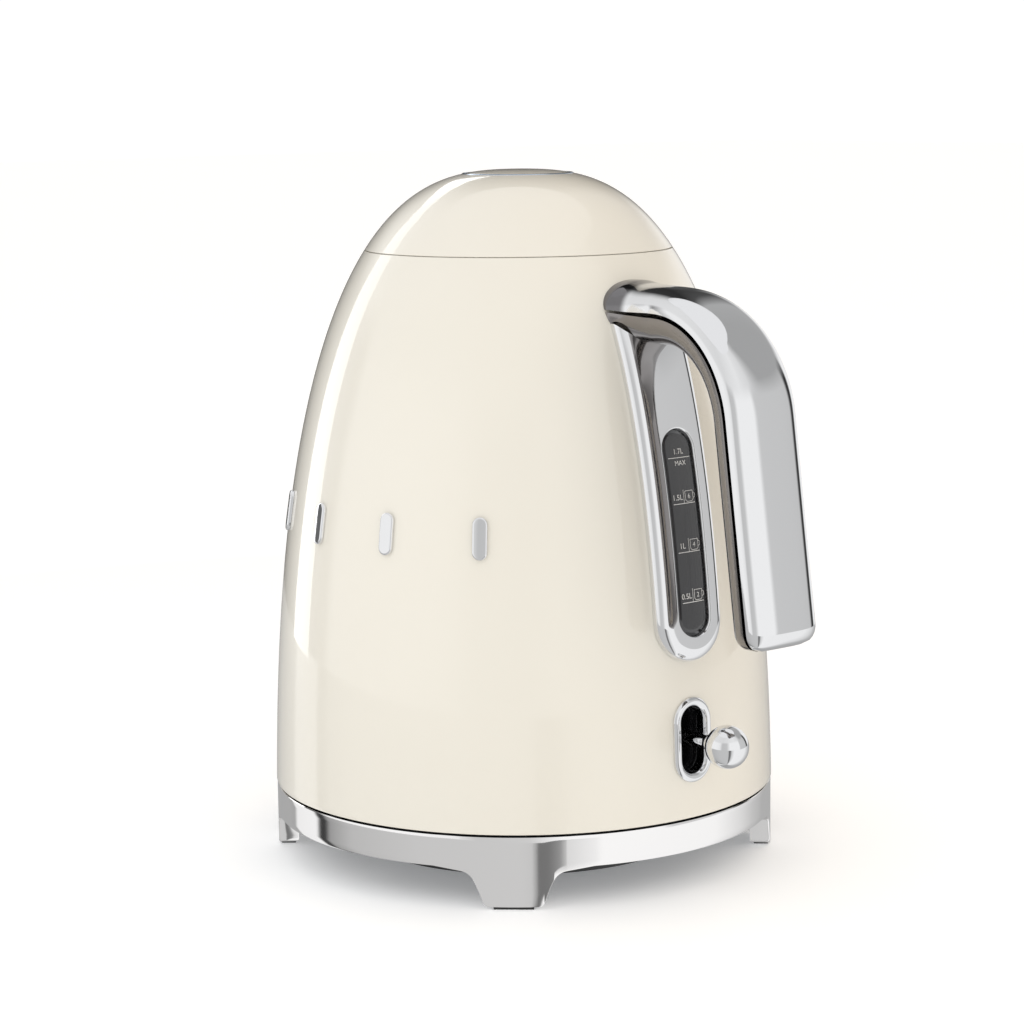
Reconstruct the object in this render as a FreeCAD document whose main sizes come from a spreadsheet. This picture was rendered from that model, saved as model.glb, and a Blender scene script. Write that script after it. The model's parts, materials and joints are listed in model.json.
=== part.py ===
"""Retro electric kettle on a cordless power base, built as an assembly of separate pieces.

Frame: millimetres, +Z up, origin on the ground at the centre of the round base. The handle, the water
gauge and the on/off lever point along +X and the spout points along -X. Y is across the kettle.
"""
import FreeCAD, Part
import math
import os

import Sketcher
from FreeCAD import Vector

doc = FreeCAD.newDocument("kettle")

# ----------------------------------------------------------------------------------------------
# Driving dimensions, in millimetres and degrees
# ----------------------------------------------------------------------------------------------
DRIVING = [
    # bullet profile of the painted body and lid: r = crown_r * (1 - u ** crown_p) ** crown_q
    ("crown_r", 87.47), ("crown_low", -11.35), ("crown_top", 236.36), ("crown_p", 2.484),
    ("crown_q", 0.3611), ("steel", 0.9), ("body_low", 24.9), ("seam_z", 209.35), ("seam_gap", 0.35),
    # power base
    ("skirt_r", 87.0), ("skirt_wall", 2.2), ("skirt_low", 13.65), ("skirt_top", 24.3),
    ("foot_depth", 7.0), ("foot_width", 17.2), ("foot_flare", 11.0), ("pad_thick", 0.8),
    ("base_turn", 2.5), ("plate_z", 19.5), ("plate_thick", 2.0), ("cover_thick", 2.0),
    ("cover_r", 75.2), ("winder_r", 58.0), ("winder_hub_r", 34.0), ("winder_z", 3.5),
    ("gland_x", 66.0), ("cord_hole_r", 3.4), ("plug_r", 19.5), ("post_r", 8.0), ("post_top", 33.0),
    # kettle underside and heater
    ("housing_r", 84.2), ("rest_gap", 0.4), ("floor_z", 72.0), ("element_r", 38.0),
    ("element_tube_r", 4.2), ("diffuser_r", 46.0), ("control_r", 23.0), ("socket_r", 18.8),
    # on/off lever
    ("slot_z", 51.3), ("slot_width", 10.0), ("slot_height", 22.2), ("bezel_rim", 2.7),
    ("lever_x", 50.0), ("lever_z", 51.7), ("stem_r", 2.7), ("knob_x", 102.7), ("knob_r", 7.2),
    ("lever_pin_r", 1.5),
    # water gauge
    ("gauge_width", 13.6), ("gauge_low", 85.5), ("gauge_high", 153.0), ("strip_width", 27.6),
    ("strip_low", 77.3), ("strip_proud", 4.4), ("strip_high", 181.4),
    # handle
    ("grip_width", 26.0), ("grip_thick", 13.6), ("grip_z", 191.4), ("grip_bend_x", 81.2),
    ("grip_bend_r", 35.3), ("grip_end_x", 125.9), ("grip_end_z", 89.3), ("flange_half_y", 14.5),
    ("flange_half_z", 9.3), ("flange_z", 192.0), ("flange_proud", 2.6), ("screw_r", 1.8),
    # lid, its hinge and its latch
    ("button_r", 18.2), ("ring_r", 19.2), ("mouth_r", 44.0), ("plug_wall_r", 40.0),
    ("hinge_x", 51.2), ("hinge_z", 201.2), ("hinge_pin_r", 1.0), ("knuckle_r", 2.4),
    ("bolt_z", 203.2), ("bolt_thick", 2.0), ("bolt_reach", 46.0),
    # spout
    ("spout_tip", 90.0), ("spout_top", 204.4),
    ("run", 0.05), ("hair", 0.02),
]


class Size:
    """A number that also carries the spreadsheet expression it comes from."""

    def __init__(self, value, text):
        self.value, self.text = float(value), text

    def __float__(self):
        return self.value

    def __add__(self, other):
        other = size(other)
        return Size(self.value + other.value, f"({self.text} + {other.text})")

    def __sub__(self, other):
        other = size(other)
        return Size(self.value - other.value, f"({self.text} - {other.text})")

    def __mul__(self, other):
        other = size(other)
        return Size(self.value * other.value, f"({self.text} * {other.text})")

    def __truediv__(self, other):
        other = size(other)
        return Size(self.value / other.value, f"({self.text} / {other.text})")

    def __neg__(self):
        return self * -1

    __radd__ = __add__

    def __rsub__(self, other):
        return size(other) - self

    __rmul__ = __mul__


def size(number):
    return number if isinstance(number, Size) else Size(number, repr(float(number)))


class Dims:
    """The spreadsheet's cells as attributes."""


sheet = doc.addObject("Spreadsheet::Sheet", "Dims")
d = Dims()
for row, (name, number) in enumerate(DRIVING, start=1):
    sheet.set(f"A{row}", name)
    sheet.set(f"B{row}", str(number))
    sheet.setAlias(f"B{row}", name)
    setattr(d, name, Size(number, f"Dims.{name}"))
doc.recompute()

# ----------------------------------------------------------------------------------------------
# Helpers: every size given to an object is bound to its spreadsheet expression
# ----------------------------------------------------------------------------------------------
keep = []  # the finished sub-parts, in order


def finished(obj, label):
    obj.Label = label
    keep.append(obj)
    return obj


def bind(obj, path, number):
    obj.setExpression(path, size(number).text)


def place(obj, x=0, y=0, z=0):
    for axis, number in zip("xyz", (x, y, z)):
        bind(obj, f"Placement.Base.{axis}", number)
    return obj


def turn(obj, axis, angle):
    """Sets an object's rotation, with its angle bound."""
    obj.Placement.Rotation = FreeCAD.Rotation(Vector(*axis), float(size(angle)))
    return obj


def cylinder(name, radius, height, x=0, y=0, z=0, along="z"):
    obj = doc.addObject("Part::Cylinder", name)
    bind(obj, "Radius", radius)
    bind(obj, "Height", height)
    if along == "x":
        turn(obj, (0, 1, 0), 90)
    elif along == "y":
        turn(obj, (1, 0, 0), -90)
    return place(obj, x, y, z)


def box(name, length, width, height, x=0, y=0, z=0):
    """A box whose width is centred on y and which starts at x and z."""
    obj = doc.addObject("Part::Box", name)
    bind(obj, "Length", length)
    bind(obj, "Width", width)
    bind(obj, "Height", height)
    return place(obj, x, size(y) - size(width) / 2, z)


def tube(name, outer, inner, height, x=0, y=0, z=0, along="z"):
    return cut(name, cylinder(name + "_out", outer, height, x, y, z, along),
               cylinder(name + "_in", inner, height, x, y, z, along))


def cut(name, base, *tools):
    obj = doc.addObject("Part::Cut", name)
    obj.Base = base
    obj.Tool = tools[0] if len(tools) == 1 else fuse(name + "_tools", *tools)
    return obj


def fuse(name, *parts):
    obj = doc.addObject("Part::MultiFuse", name)
    obj.Shapes = list(parts)
    return obj


def common(name, *parts):
    obj = doc.addObject("Part::MultiCommon", name)
    obj.Shapes = list(parts)
    return obj


def group(name, *parts):
    """Several identical pieces that share one node."""
    obj = doc.addObject("Part::Compound", name)
    obj.Links = list(parts)
    return obj


def shaped(name, shape):
    """An object whose shape comes from Part's own functions."""
    obj = doc.addObject("Part::Feature", name)
    obj.Shape = shape
    return obj


def origin_plane(body, role):
    return next(f for f in body.Origin.OriginFeatures if f.Role == role)


def sketch_on(body, name, role, offset=0):
    sk = body.newObject("Sketcher::SketchObject", name)
    sk.AttachmentSupport = [(origin_plane(body, role), "")]
    sk.MapMode = "FlatFace"
    bind(sk, "AttachmentOffset.Base.z", offset)
    return sk


def pin_point(sk, geometry, end, x, y):
    """Holds a sketch point at x, y with dimensions bound to the spreadsheet."""
    for kind, axis, number in (("DistanceX", -2, size(x)), ("DistanceY", -1, size(y))):
        if abs(number.value) < 1e-9:
            sk.addConstraint(Sketcher.Constraint("PointOnObject", geometry, end, axis))
            continue
        index = sk.addConstraint(Sketcher.Constraint(kind, -1, 1, geometry, end, number.value))
        bind(sk, f"Constraints[{index}]", number)


def polygon(sk, points):
    """A closed outline of straight lines through points, each pinned by the spreadsheet."""
    corners = [Vector(float(size(x)), float(size(y)), 0) for x, y in points]
    first = sk.GeometryCount
    for i, corner in enumerate(corners):
        sk.addGeometry(Part.LineSegment(corner, corners[(i + 1) % len(corners)]), False)
    for i in range(len(corners)):
        sk.addConstraint(Sketcher.Constraint("Coincident", first + i, 2, first + (i + 1) % len(corners), 1))
    for i, (x, y) in enumerate(points):
        pin_point(sk, first + i, 1, x, y)


def revolved(name, outline):
    """A PartDesign body turned about Z from an outline of (radius, height) corners."""
    body = doc.addObject("PartDesign::Body", name)
    sk = sketch_on(body, name + "_outline", "XZ_Plane")
    polygon(sk, outline)
    doc.recompute()
    turned = body.newObject("PartDesign::Revolution", name + "_turned")
    turned.Profile = sk
    turned.ReferenceAxis = (sk, ["V_Axis"])
    turned.Angle = 360
    return body


def padded(name, outline, width, role="XZ_Plane"):
    """A PartDesign body padded evenly both ways from an outline in one of its planes."""
    body = doc.addObject("PartDesign::Body", name)
    sk = sketch_on(body, name + "_outline", role)
    polygon(sk, outline)
    doc.recompute()
    pad = body.newObject("PartDesign::Pad", name + "_pad")
    pad.Profile = sk
    bind(pad, "Length", width)
    pad.Midplane = True
    return body


# ----------------------------------------------------------------------------------------------
# The bullet profile
# ----------------------------------------------------------------------------------------------
CROWN_TURN_R = 0.62  # below this share of the radius the profile is followed by radius, not by height


def crown_radius(z):
    u = (z - float(d.crown_low)) / (float(d.crown_top) - float(d.crown_low))
    return float(d.crown_r) * (1 - min(u, 1.0) ** float(d.crown_p)) ** float(d.crown_q)


def crown_height(r):
    share = (1 - (r / float(d.crown_r)) ** (1 / float(d.crown_q))) ** (1 / float(d.crown_p))
    return float(d.crown_low) + share * (float(d.crown_top) - float(d.crown_low))


def crown_points(offset, low, high):
    """Points of the profile moved outward by offset, from height low to height high."""
    high_r = crown_radius(high) if high < float(d.crown_top) else 0.0
    turn_z = max(low, min(high, crown_height(CROWN_TURN_R * float(d.crown_r))))
    steps = 14
    points = []
    if turn_z - low > 1:
        points += [(crown_radius(low + (turn_z - low) * i / steps), low + (turn_z - low) * i / steps)
                   for i in range(steps)]
    turn_r = crown_radius(turn_z)
    if turn_r - high_r > 0.5:
        points += [(high_r + (turn_r - high_r) * (1 - i / steps), None) for i in range(steps)]
    points += [(high_r, high if high_r else float(d.crown_top))]
    flat = []
    for r, z in points:
        z = crown_height(r) if z is None else z
        if r < 1e-6:
            flat.append((0.0, z + offset))
            continue
        step = 0.01
        dr = crown_radius(z + step) - crown_radius(z - step) if z + step < float(d.crown_top) else -1.0
        length = math.hypot(dr, 2 * step)
        flat.append((r + offset * 2 * step / length, z - offset * dr / length))
    return flat


def crown_solid(name, offset, low, high):
    """The solid inside the bullet profile moved outward by offset, between two heights."""
    flat = [Vector(r, 0, z) for r, z in crown_points(offset, low, high)]
    curve = Part.BSplineCurve()
    curve.interpolate(flat)
    bottom, top = Vector(0, 0, flat[0].z), Vector(0, 0, flat[-1].z)
    edges = [Part.LineSegment(bottom, flat[0]).toShape(), curve.toShape()]
    if flat[-1].x > 1e-6:
        edges.append(Part.LineSegment(flat[-1], top).toShape())
    edges.append(Part.LineSegment(top, bottom).toShape())
    solid = Part.Face(Part.Wire(edges)).revolve(Vector(0, 0, 0), Vector(0, 0, 1), 360)
    return shaped(name, solid)


def stadium(name, width, low, high, depth, x=0):
    """A prism with round ends, standing in the YZ plane between two heights and running along +X."""
    radius = size(width) / 2
    middle = box(name + "_mid", depth, width, size(high) - low - size(width), x, 0, size(low) + radius)
    ends = [cylinder(f"{name}_end{i}", radius, depth, x, 0, z, along="x")
            for i, z in enumerate((size(low) + radius, size(high) - radius))]
    return fuse(name, middle, *ends)


# ----------------------------------------------------------------------------------------------
# Power base: skirt with four feet, plates, cord winder, gland and centre plug
# ----------------------------------------------------------------------------------------------
FEET = 4


def foot_angle(index):
    return float(d.base_turn) + 45 + 360 / FEET * index


def base_skirt():
    """Metal ring with four flared feet, made by padding a foot, repeating it and turning it true."""
    body = doc.addObject("PartDesign::Body", "skirt")
    ring_in = d.skirt_r - d.skirt_wall
    flange_in = d.cover_r + 0.3
    sk = sketch_on(body, "skirt_ring", "XZ_Plane")
    polygon(sk, [(flange_in, d.skirt_low), (d.skirt_r, d.skirt_low), (d.skirt_r, d.skirt_top),
                 (ring_in, d.skirt_top), (ring_in, d.skirt_low + 2), (flange_in, d.skirt_low + 2)])
    doc.recompute()
    ring = body.newObject("PartDesign::Revolution", "skirt_turned")
    ring.Profile = sk
    ring.ReferenceAxis = (sk, ["V_Axis"])
    ring.Angle = 360
    doc.recompute()

    foot = sketch_on(body, "foot_outline", "XZ_Plane", 0)
    half = float(d.foot_width) / 2
    flare = float(d.foot_flare)
    low, top = float(d.pad_thick), float(d.skirt_low) + 1
    root = float(d.skirt_low)
    lines = [((-half - flare, top), (-half - flare, root)), ((half, root - flare), (half, low)),
             ((half, low), (-half, low)), ((-half, low), (-half, root - flare)),
             ((half + flare, root), (half + flare, top)), ((half + flare, top), (-half - flare, top))]
    for start, end in lines:
        foot.addGeometry(Part.LineSegment(Vector(*start, 0), Vector(*end, 0)), False)
    for side in (-1, 1):
        centre = Vector(side * (half + flare), root - flare, 0)
        start, end = (0, 90) if side < 0 else (90, 180)
        foot.addGeometry(Part.ArcOfCircle(Part.Circle(centre, Vector(0, 0, 1), flare),
                                          math.radians(start), math.radians(end)), False)
    for joint in ((0, 2, 6, 2), (6, 1, 3, 2), (3, 1, 2, 2), (2, 1, 1, 2), (1, 1, 7, 2), (7, 1, 4, 1),
                  (4, 2, 5, 1), (5, 2, 0, 1)):
        foot.addConstraint(Sketcher.Constraint("Coincident", *joint))
    half_size, low_size, root_size = d.foot_width / 2, d.pad_thick, d.skirt_low
    for geometry, end, x, y in ((2, 1, half_size, low_size), (2, 2, -half_size, low_size),
                                (7, 2, half_size, root_size - d.foot_flare),
                                (6, 1, -half_size, root_size - d.foot_flare),
                                (7, 1, half_size + d.foot_flare, root_size),
                                (6, 2, -half_size - d.foot_flare, root_size),
                                (4, 2, half_size + d.foot_flare, root_size + 1),
                                (0, 1, -half_size - d.foot_flare, root_size + 1)):
        pin_point(foot, geometry, end, x, y)
    for arc in (6, 7):
        index = foot.addConstraint(Sketcher.Constraint("Radius", arc, flare))
        bind(foot, f"Constraints[{index}]", d.foot_flare)
    foot.AttachmentOffset = FreeCAD.Placement(Vector(0, 0, 0),
                                              FreeCAD.Rotation(Vector(0, 1, 0), foot_angle(0) - 90))
    doc.recompute()
    pad = body.newObject("PartDesign::Pad", "foot_pad")
    pad.Profile = foot
    bind(pad, "Length", d.skirt_r + 6)
    pad.Reversed = True
    doc.recompute()
    feet = body.newObject("PartDesign::PolarPattern", "foot_copies")
    feet.Originals = [pad]
    feet.Axis = (origin_plane(body, "Z_Axis"), [""])
    feet.Angle = 360
    feet.Occurrences = FEET
    body.Tip = feet
    doc.recompute()
    flange_tool = fuse("skirt_tools", cylinder("skirt_core", d.skirt_r - d.foot_depth, d.skirt_low, z=0),
                       cylinder("skirt_inside", flange_in, d.skirt_top, z=0))
    outside = tube("skirt_outside", d.skirt_r + 20, d.skirt_r, d.skirt_top + 5, z=-1)
    return finished(cut("base_skirt_cut", body, flange_tool, outside), "base_skirt")


def base_parts():
    base_skirt()
    pads = []
    pad_length = d.foot_depth - 2
    for i in range(FEET):
        pad = box(f"pad{i}", pad_length, d.foot_width - 4, d.pad_thick, 0, 0, 0)
        angle = math.radians(foot_angle(i))
        inner, across = d.skirt_r - d.foot_depth + 1, (d.foot_width - 4) / -2
        turn(pad, (0, 0, 1), foot_angle(i))
        place(pad, inner * math.cos(angle) - across * math.sin(angle),
              inner * math.sin(angle) + across * math.cos(angle), 0)
        pads.append(pad)
    finished(group("pads", *pads), "foot_pads")

    plate_r = d.skirt_r - d.skirt_wall - 0.2
    plate_top = d.plate_z + d.plate_thick
    finished(revolved("top_plate", [
        (d.plug_r + 0.4, d.plate_z), (plate_r - 2, d.plate_z), (plate_r - 2, d.skirt_low + 2),
        (plate_r, d.skirt_low + 2), (plate_r, plate_top), (d.plug_r + 0.4, plate_top)]), "base_top_plate")

    cover_top = d.skirt_low + d.cover_thick
    cover = revolved("bottom_cover", [(0, d.skirt_low), (d.cover_r, d.skirt_low), (d.cover_r, cover_top),
                                      (0, cover_top)])
    gland_r = d.cord_hole_r + 2
    gland_hole = cylinder("gland_hole", gland_r, d.cover_thick + 2, -d.gland_x, 0, d.skirt_low - 1)
    screw_holes = [cylinder(f"base_screw_hole{i}", d.screw_r, d.cover_thick + 2, x, y, d.skirt_low - 1)
                   for i, (x, y) in enumerate(base_screw_places())]
    finished(cut("bottom_cover_cut", cover, gland_hole, *screw_holes), "base_bottom_cover")

    hub_z = d.winder_z + 1.5
    hub_in = d.winder_hub_r - 2.5
    finished(revolved("winder_hub", [(hub_in, hub_z), (d.winder_hub_r, hub_z),
                                     (d.winder_hub_r, d.skirt_low),
                                     (hub_in, d.skirt_low)]), "cord_winder_hub")
    finished(revolved("winder_flange", [(hub_in, d.winder_z), (d.winder_r, d.winder_z), (d.winder_r, hub_z),
                                        (hub_in, hub_z)]), "cord_winder_flange")

    gland_low = d.skirt_low - 3
    gland_body = fuse("gland_body", cylinder("gland_tube", gland_r, 3 + d.cover_thick,
                                             -d.gland_x, 0, gland_low),
                      cylinder("gland_rim", gland_r + 2, 1.5, -d.gland_x, 0, cover_top))
    finished(cut("gland_cut", gland_body,
                 cylinder("gland_bore", d.cord_hole_r, 10, -d.gland_x, 0, gland_low - 1)), "cord_gland")

    screws = []
    for i, (x, y) in enumerate(base_screw_places()):
        shank = cylinder(f"base_screw_shank{i}", d.screw_r, d.plate_z - d.skirt_low, x, y, d.skirt_low)
        head = cylinder(f"base_screw_head{i}", d.screw_r * 1.8, 1.6, x, y, d.skirt_low - 1.6)
        screws.append(fuse(f"base_screw{i}", shank, head))
    finished(group("base_screw_group", *screws), "base_screws")


def base_screw_places():
    """Three screws between the cover and the top plate, outside the cord winder."""
    radius = (d.winder_r + d.cover_r) / 2
    return [(radius * math.cos(math.radians(a)), radius * math.sin(math.radians(a)))
            for a in (60, 145, 270)]


def base_plug():
    """The centre plug of the cordless connector, with its ring contacts and earth pin."""
    low = d.skirt_low + d.cover_thick
    step_z = d.plate_z + d.plate_thick + 1.5
    ring_z = step_z + 3
    groove_in, groove_out = d.post_r + 2, d.post_r + 3.4
    finished(revolved("plug", [
        (2.6, low), (d.plug_r, low), (d.plug_r, step_z), (groove_out + 2.5, step_z),
        (groove_out + 2.5, ring_z), (groove_out, ring_z), (groove_out, step_z - 2),
        (groove_in, step_z - 2), (groove_in, ring_z), (d.post_r, ring_z), (d.post_r, d.post_top),
        (5.2, d.post_top), (5.2, step_z), (2.6, step_z)]), "base_plug")
    finished(tube("ring_contact", groove_out - 0.3, groove_in + 0.3, 4, z=step_z - 2), "plug_ring_contact")
    finished(tube("inner_contact", 5.2 - 0.05, 4.3, d.post_top - step_z - 2, z=step_z),
             "plug_inner_contact")
    finished(cylinder("earth_pin", 2.5, d.post_top - low - 1, z=low), "plug_earth_pin")


# ----------------------------------------------------------------------------------------------
# Kettle body, underside and heater
# ----------------------------------------------------------------------------------------------
def body_shell(channel):
    outer = crown_solid("body_outer", 0, float(d.body_low), float(d.seam_z - d.seam_gap))
    inner = crown_solid("body_inner", -float(d.steel), float(d.body_low) - 1, float(d.seam_z) + 1)
    lever_hole = stadium("lever_hole", d.slot_width + 4.4, d.slot_z - d.slot_height / 2 - 2.2,
                         d.slot_z + d.slot_height / 2 + 2.2, 20, 75)
    gauge_hole = stadium("gauge_hole", d.gauge_width - 4, d.gauge_low + 2, d.gauge_high - 2, 40, 60)
    shell = cut("body_shell_cut", outer, inner, lever_hole, gauge_hole, channel,
                *handle_screw_shanks("shell"))
    finished(shell, "body_shell")


def underside():
    rest_z = d.plate_z + d.plate_thick + d.rest_gap
    floor_top = rest_z + 4
    spigot_r = d.crown_r - d.steel - 0.9
    opening = d.socket_r + 3
    housing = revolved("housing", [
        (opening, rest_z + 1.5), (d.housing_r - 14, rest_z + 1.5), (d.housing_r - 14, rest_z),
        (d.housing_r, rest_z), (d.housing_r, d.body_low + 0.2), (spigot_r, d.body_low + 0.2),
        (spigot_r, d.body_low + 9), (spigot_r - 2.2, d.body_low + 9), (spigot_r - 2.2, floor_top),
        (opening, floor_top)])
    finished(housing, "bottom_housing")

    post_gap = 0.6
    step_z = d.plate_z + d.plate_thick + 1.5
    low = step_z + 3 + 0.5
    finished(revolved("socket", [
        (d.post_r + post_gap, low), (d.socket_r, low), (d.socket_r, low + 14), (0, low + 14),
        (0, d.post_top + 1), (d.post_r + post_gap, d.post_top + 1)]), "kettle_socket")

    control_z = low + 14 + 0.4
    pins = [(11 * math.cos(math.radians(a)), 11 * math.sin(math.radians(a))) for a in (90, 210, 330)]
    control = revolved("control", [(0, control_z), (d.control_r, control_z), (d.control_r, control_z + 12),
                                   (d.control_r - 4, d.floor_z - 7), (0, d.floor_z - 7)])
    finished(control, "thermostat_control")
    collar = revolved("socket_collar", [
        (d.socket_r + 0.4, floor_top - 2.5), (opening - 0.05, floor_top - 2.5), (opening - 0.05, floor_top),
        (opening + 3, floor_top), (opening + 3, control_z), (d.socket_r + 0.4, control_z)])
    finished(collar, "socket_collar")
    discs = [cylinder(f"bimetal{i}", 5, 0.6, 11 * side, 3, d.floor_z - 7) for i, side in enumerate((-1, 1))]
    finished(group("bimetal", *discs), "bimetal_discs")
    studs = [fuse(f"stud_screw{i}", cylinder(f"stud{i}", 1.5, 2, x, y, d.floor_z - 6),
                  cylinder(f"stud_nut{i}", 2.6, 1, x, y, d.floor_z - 7)) for i, (x, y) in enumerate(pins)]
    finished(group("studs", *studs), "control_studs")


def heater():
    plate_r = crown_radius(float(d.floor_z) + 4) - float(d.steel) - 1.9
    seal_out = plate_r + 1.7
    hole_r = 5.2
    x, y = tube_place()
    plate = revolved("plate", [(0, d.floor_z), (plate_r, d.floor_z), (plate_r, d.floor_z + 5),
                               (plate_r - 0.8, d.floor_z + 5), (plate_r - 0.8, d.floor_z + 0.8),
                               (0, d.floor_z + 0.8)])
    finished(cut("plate_cut", plate, cylinder("plate_hole", hole_r, 4, x, y, d.floor_z - 1)),
             "heating_plate")
    finished(revolved("floor_seal", [(plate_r, d.floor_z - 1), (seal_out, d.floor_z - 1),
                                     (seal_out - 0.15, d.floor_z + 4.5), (plate_r, d.floor_z + 4.5)]),
             "floor_seal")
    finished(cylinder("diffuser", d.diffuser_r, 4, z=d.floor_z - 4), "diffuser_plate")
    ring = doc.addObject("Part::Torus", "element_ring")
    bind(ring, "Radius1", d.element_r)
    bind(ring, "Radius2", d.element_tube_r)
    ring.Angle3 = 300
    place(ring, 0, 0, d.floor_z - 4 - d.element_tube_r)
    turn(ring, (0, 0, 1), 210)
    ends = []
    for i, a in enumerate((210, 510)):
        ex, ey = d.element_r * math.cos(math.radians(a)), d.element_r * math.sin(math.radians(a))
        ends.append(cylinder(f"element_end{i}", 1.4, 10, ex, ey, d.floor_z - 14 - d.element_tube_r))
    finished(fuse("element", ring, *ends), "heating_element")

    outer_r, bore = 4.0, 2.8
    finished(tube("steam", outer_r, bore, 134, x, y, d.floor_z - 14), "steam_tube")
    finished(tube("steam_ring", hole_r, outer_r, 4, x, y, d.floor_z - 1), "steam_tube_seal")


def tube_place():
    """The steam tube stands clear of the heater, beside the handle's side of the tank."""
    return 54 * math.cos(math.radians(25)), 54 * math.sin(math.radians(25))


# ----------------------------------------------------------------------------------------------
# On/off lever
# ----------------------------------------------------------------------------------------------
def lever_parts():
    low, high = d.slot_z - d.slot_height / 2, d.slot_z + d.slot_height / 2
    # the surface leans back by 2.6 degrees at this height, so the trim is cut to the body's own profile
    skin = crown_solid("bezel_back", float(d.run), 30, 75)
    front = crown_solid("bezel_front", 1.7, 30, 75)
    trim = common("trim_rim", stadium("trim_out", d.slot_width + d.bezel_rim * 2 + 0.8, low - d.bezel_rim,
                                      high + d.bezel_rim, 20, 75), front)
    rim = cut("trim_on_skin", trim, skin)
    spigot_out = stadium("trim_spigot", d.slot_width + 4, low - 2, high + 2, 6, 83)
    spigot = common("trim_neck", spigot_out, crown_solid("bezel_middle", 0.5, 30, 75))
    hole = stadium("trim_hole", d.slot_width, low, high, 30, 70)
    finished(cut("trim", fuse("trim_body", rim, spigot), hole), "switch_bezel")

    cup_x, cup_back = 73.0, 1.5
    cup = stadium("cup_out", d.slot_width + 3.6, low - 1.8, high + 1.8, 83 - cup_x, cup_x)
    cavity = stadium("cup_in", d.slot_width + 0.4, low - 0.2, high + 0.2, 20, cup_x + cup_back)
    slit = box("cup_slit", 10, d.stem_r * 2 + 1.2, 17, cup_x - 5, 0, d.slot_z - 8.1)
    finished(cut("cup", cup, cavity, slit), "switch_recess")

    arm_low, arm_high = d.lever_z - 2.6, d.lever_z + 2.6
    arm = fuse("arm", box("arm_bar", 44, 5, arm_high - arm_low, 26, 0, arm_low),
               cylinder("arm_hub", 4.2, 8, d.lever_x, -4, d.lever_z, along="y"))
    finished(cut("arm_cut", arm, cylinder("arm_bore", d.lever_pin_r + d.run, 12, d.lever_x, -6,
                                          d.lever_z, along="y"),
                 cylinder("arm_socket", d.stem_r - 0.7, 12, 60, 0, d.lever_z, along="x")), "switch_lever")
    rod = fuse("rod", cylinder("rod_tail", d.stem_r - 0.7, 10, 60, 0, d.lever_z, along="x"),
               cylinder("rod_stem", d.stem_r, d.knob_x - d.knob_r + 1.5 - 70, 70, 0, d.lever_z, along="x"))
    ball = doc.addObject("Part::Sphere", "ball")
    bind(ball, "Radius", d.knob_r)
    place(ball, d.knob_x, 0, d.lever_z)
    knob_bore = cylinder("knob_bore", d.stem_r, 20, d.knob_x - d.knob_r - 18.5, 0, d.lever_z, along="x")
    finished(rod, "lever_stem")
    finished(cut("knob", ball, knob_bore), "lever_knob")
    finished(cylinder("lever_pin_rod", d.lever_pin_r, 18, d.lever_x, -9, d.lever_z, along="y"), "lever_pin")

    floor_top = d.plate_z + d.plate_thick + d.rest_gap + 4
    ears = [box(f"ear{i}", 12, 3, d.lever_z + 5 - floor_top, d.lever_x - 6, 7 * side, floor_top)
            for i, side in enumerate((-1, 1))]
    foot = box("ear_foot", 12, 17, 2, d.lever_x - 6, 0, floor_top)
    finished(cut("bracket", fuse("bracket_body", foot, *ears),
                 cylinder("bracket_bore", d.lever_pin_r, 30, d.lever_x, -15, d.lever_z, along="y")),
             "lever_bracket")


# ----------------------------------------------------------------------------------------------
# Water gauge and its bright surround
# ----------------------------------------------------------------------------------------------
SCALE_HEIGHTS = (97.0, 113.3, 128.9, 143.5)  # 0.5, 1.0, 1.5 and 1.7 litres


def skin_layer(name, prism, inner, outer):
    """The part of a prism between two offsets of the body's surface."""
    low, high = 60.0, 206.0
    return cut(name, common(name + "_front", prism, crown_solid(name + "_o", outer, low, high)),
               crown_solid(name + "_i", inner, low - 1, high + 1))


def gauge_parts():
    tongue = fuse("strip_prism", stadium("strip_low_end", d.strip_width, d.strip_low, d.strip_high - 20,
                                         60, 40),
                  box("strip_top", 60, d.strip_width, 60, 40, 0, d.strip_high - 50))
    strip = skin_layer("strip", tongue, float(d.run), float(d.strip_proud))
    opening = stadium("strip_opening", d.gauge_width, d.gauge_low, d.gauge_high, 60, 40)
    above = box("strip_above", 80, 40, 30, 40, 0, d.grip_z - d.grip_thick / 2 - 0.3)
    finished(cut("strip_cut", strip, opening, above, flange_prism("strip_gap", 0.3)), "gauge_surround")

    slim = d.gauge_width - 0.2
    pane_prism = stadium("pane_prism", slim, d.gauge_low + 0.1, d.gauge_high - 0.1, 60, 40)
    finished(skin_layer("pane", pane_prism, 1.1, 3.0), "gauge_window")
    ring = skin_layer("gasket", stadium("gasket_prism", slim, d.gauge_low + 0.1, d.gauge_high - 0.1, 60,
                                        40), 0.08, 1.1)
    finished(cut("gasket_cut", ring, stadium("gasket_hole", d.gauge_width - 4, d.gauge_low + 2,
                                             d.gauge_high - 2, 60, 40)),
             "gauge_seal")
    bars = [box(f"bar{i}", 60, 7.5, 0.45, 40, 0, z) for i, z in enumerate(SCALE_HEIGHTS)]
    layers = [skin_layer(f"mark{i}", bar, 3.0, 3.12) for i, bar in enumerate(bars)]
    finished(group("marks", *layers), "gauge_marks")


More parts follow.
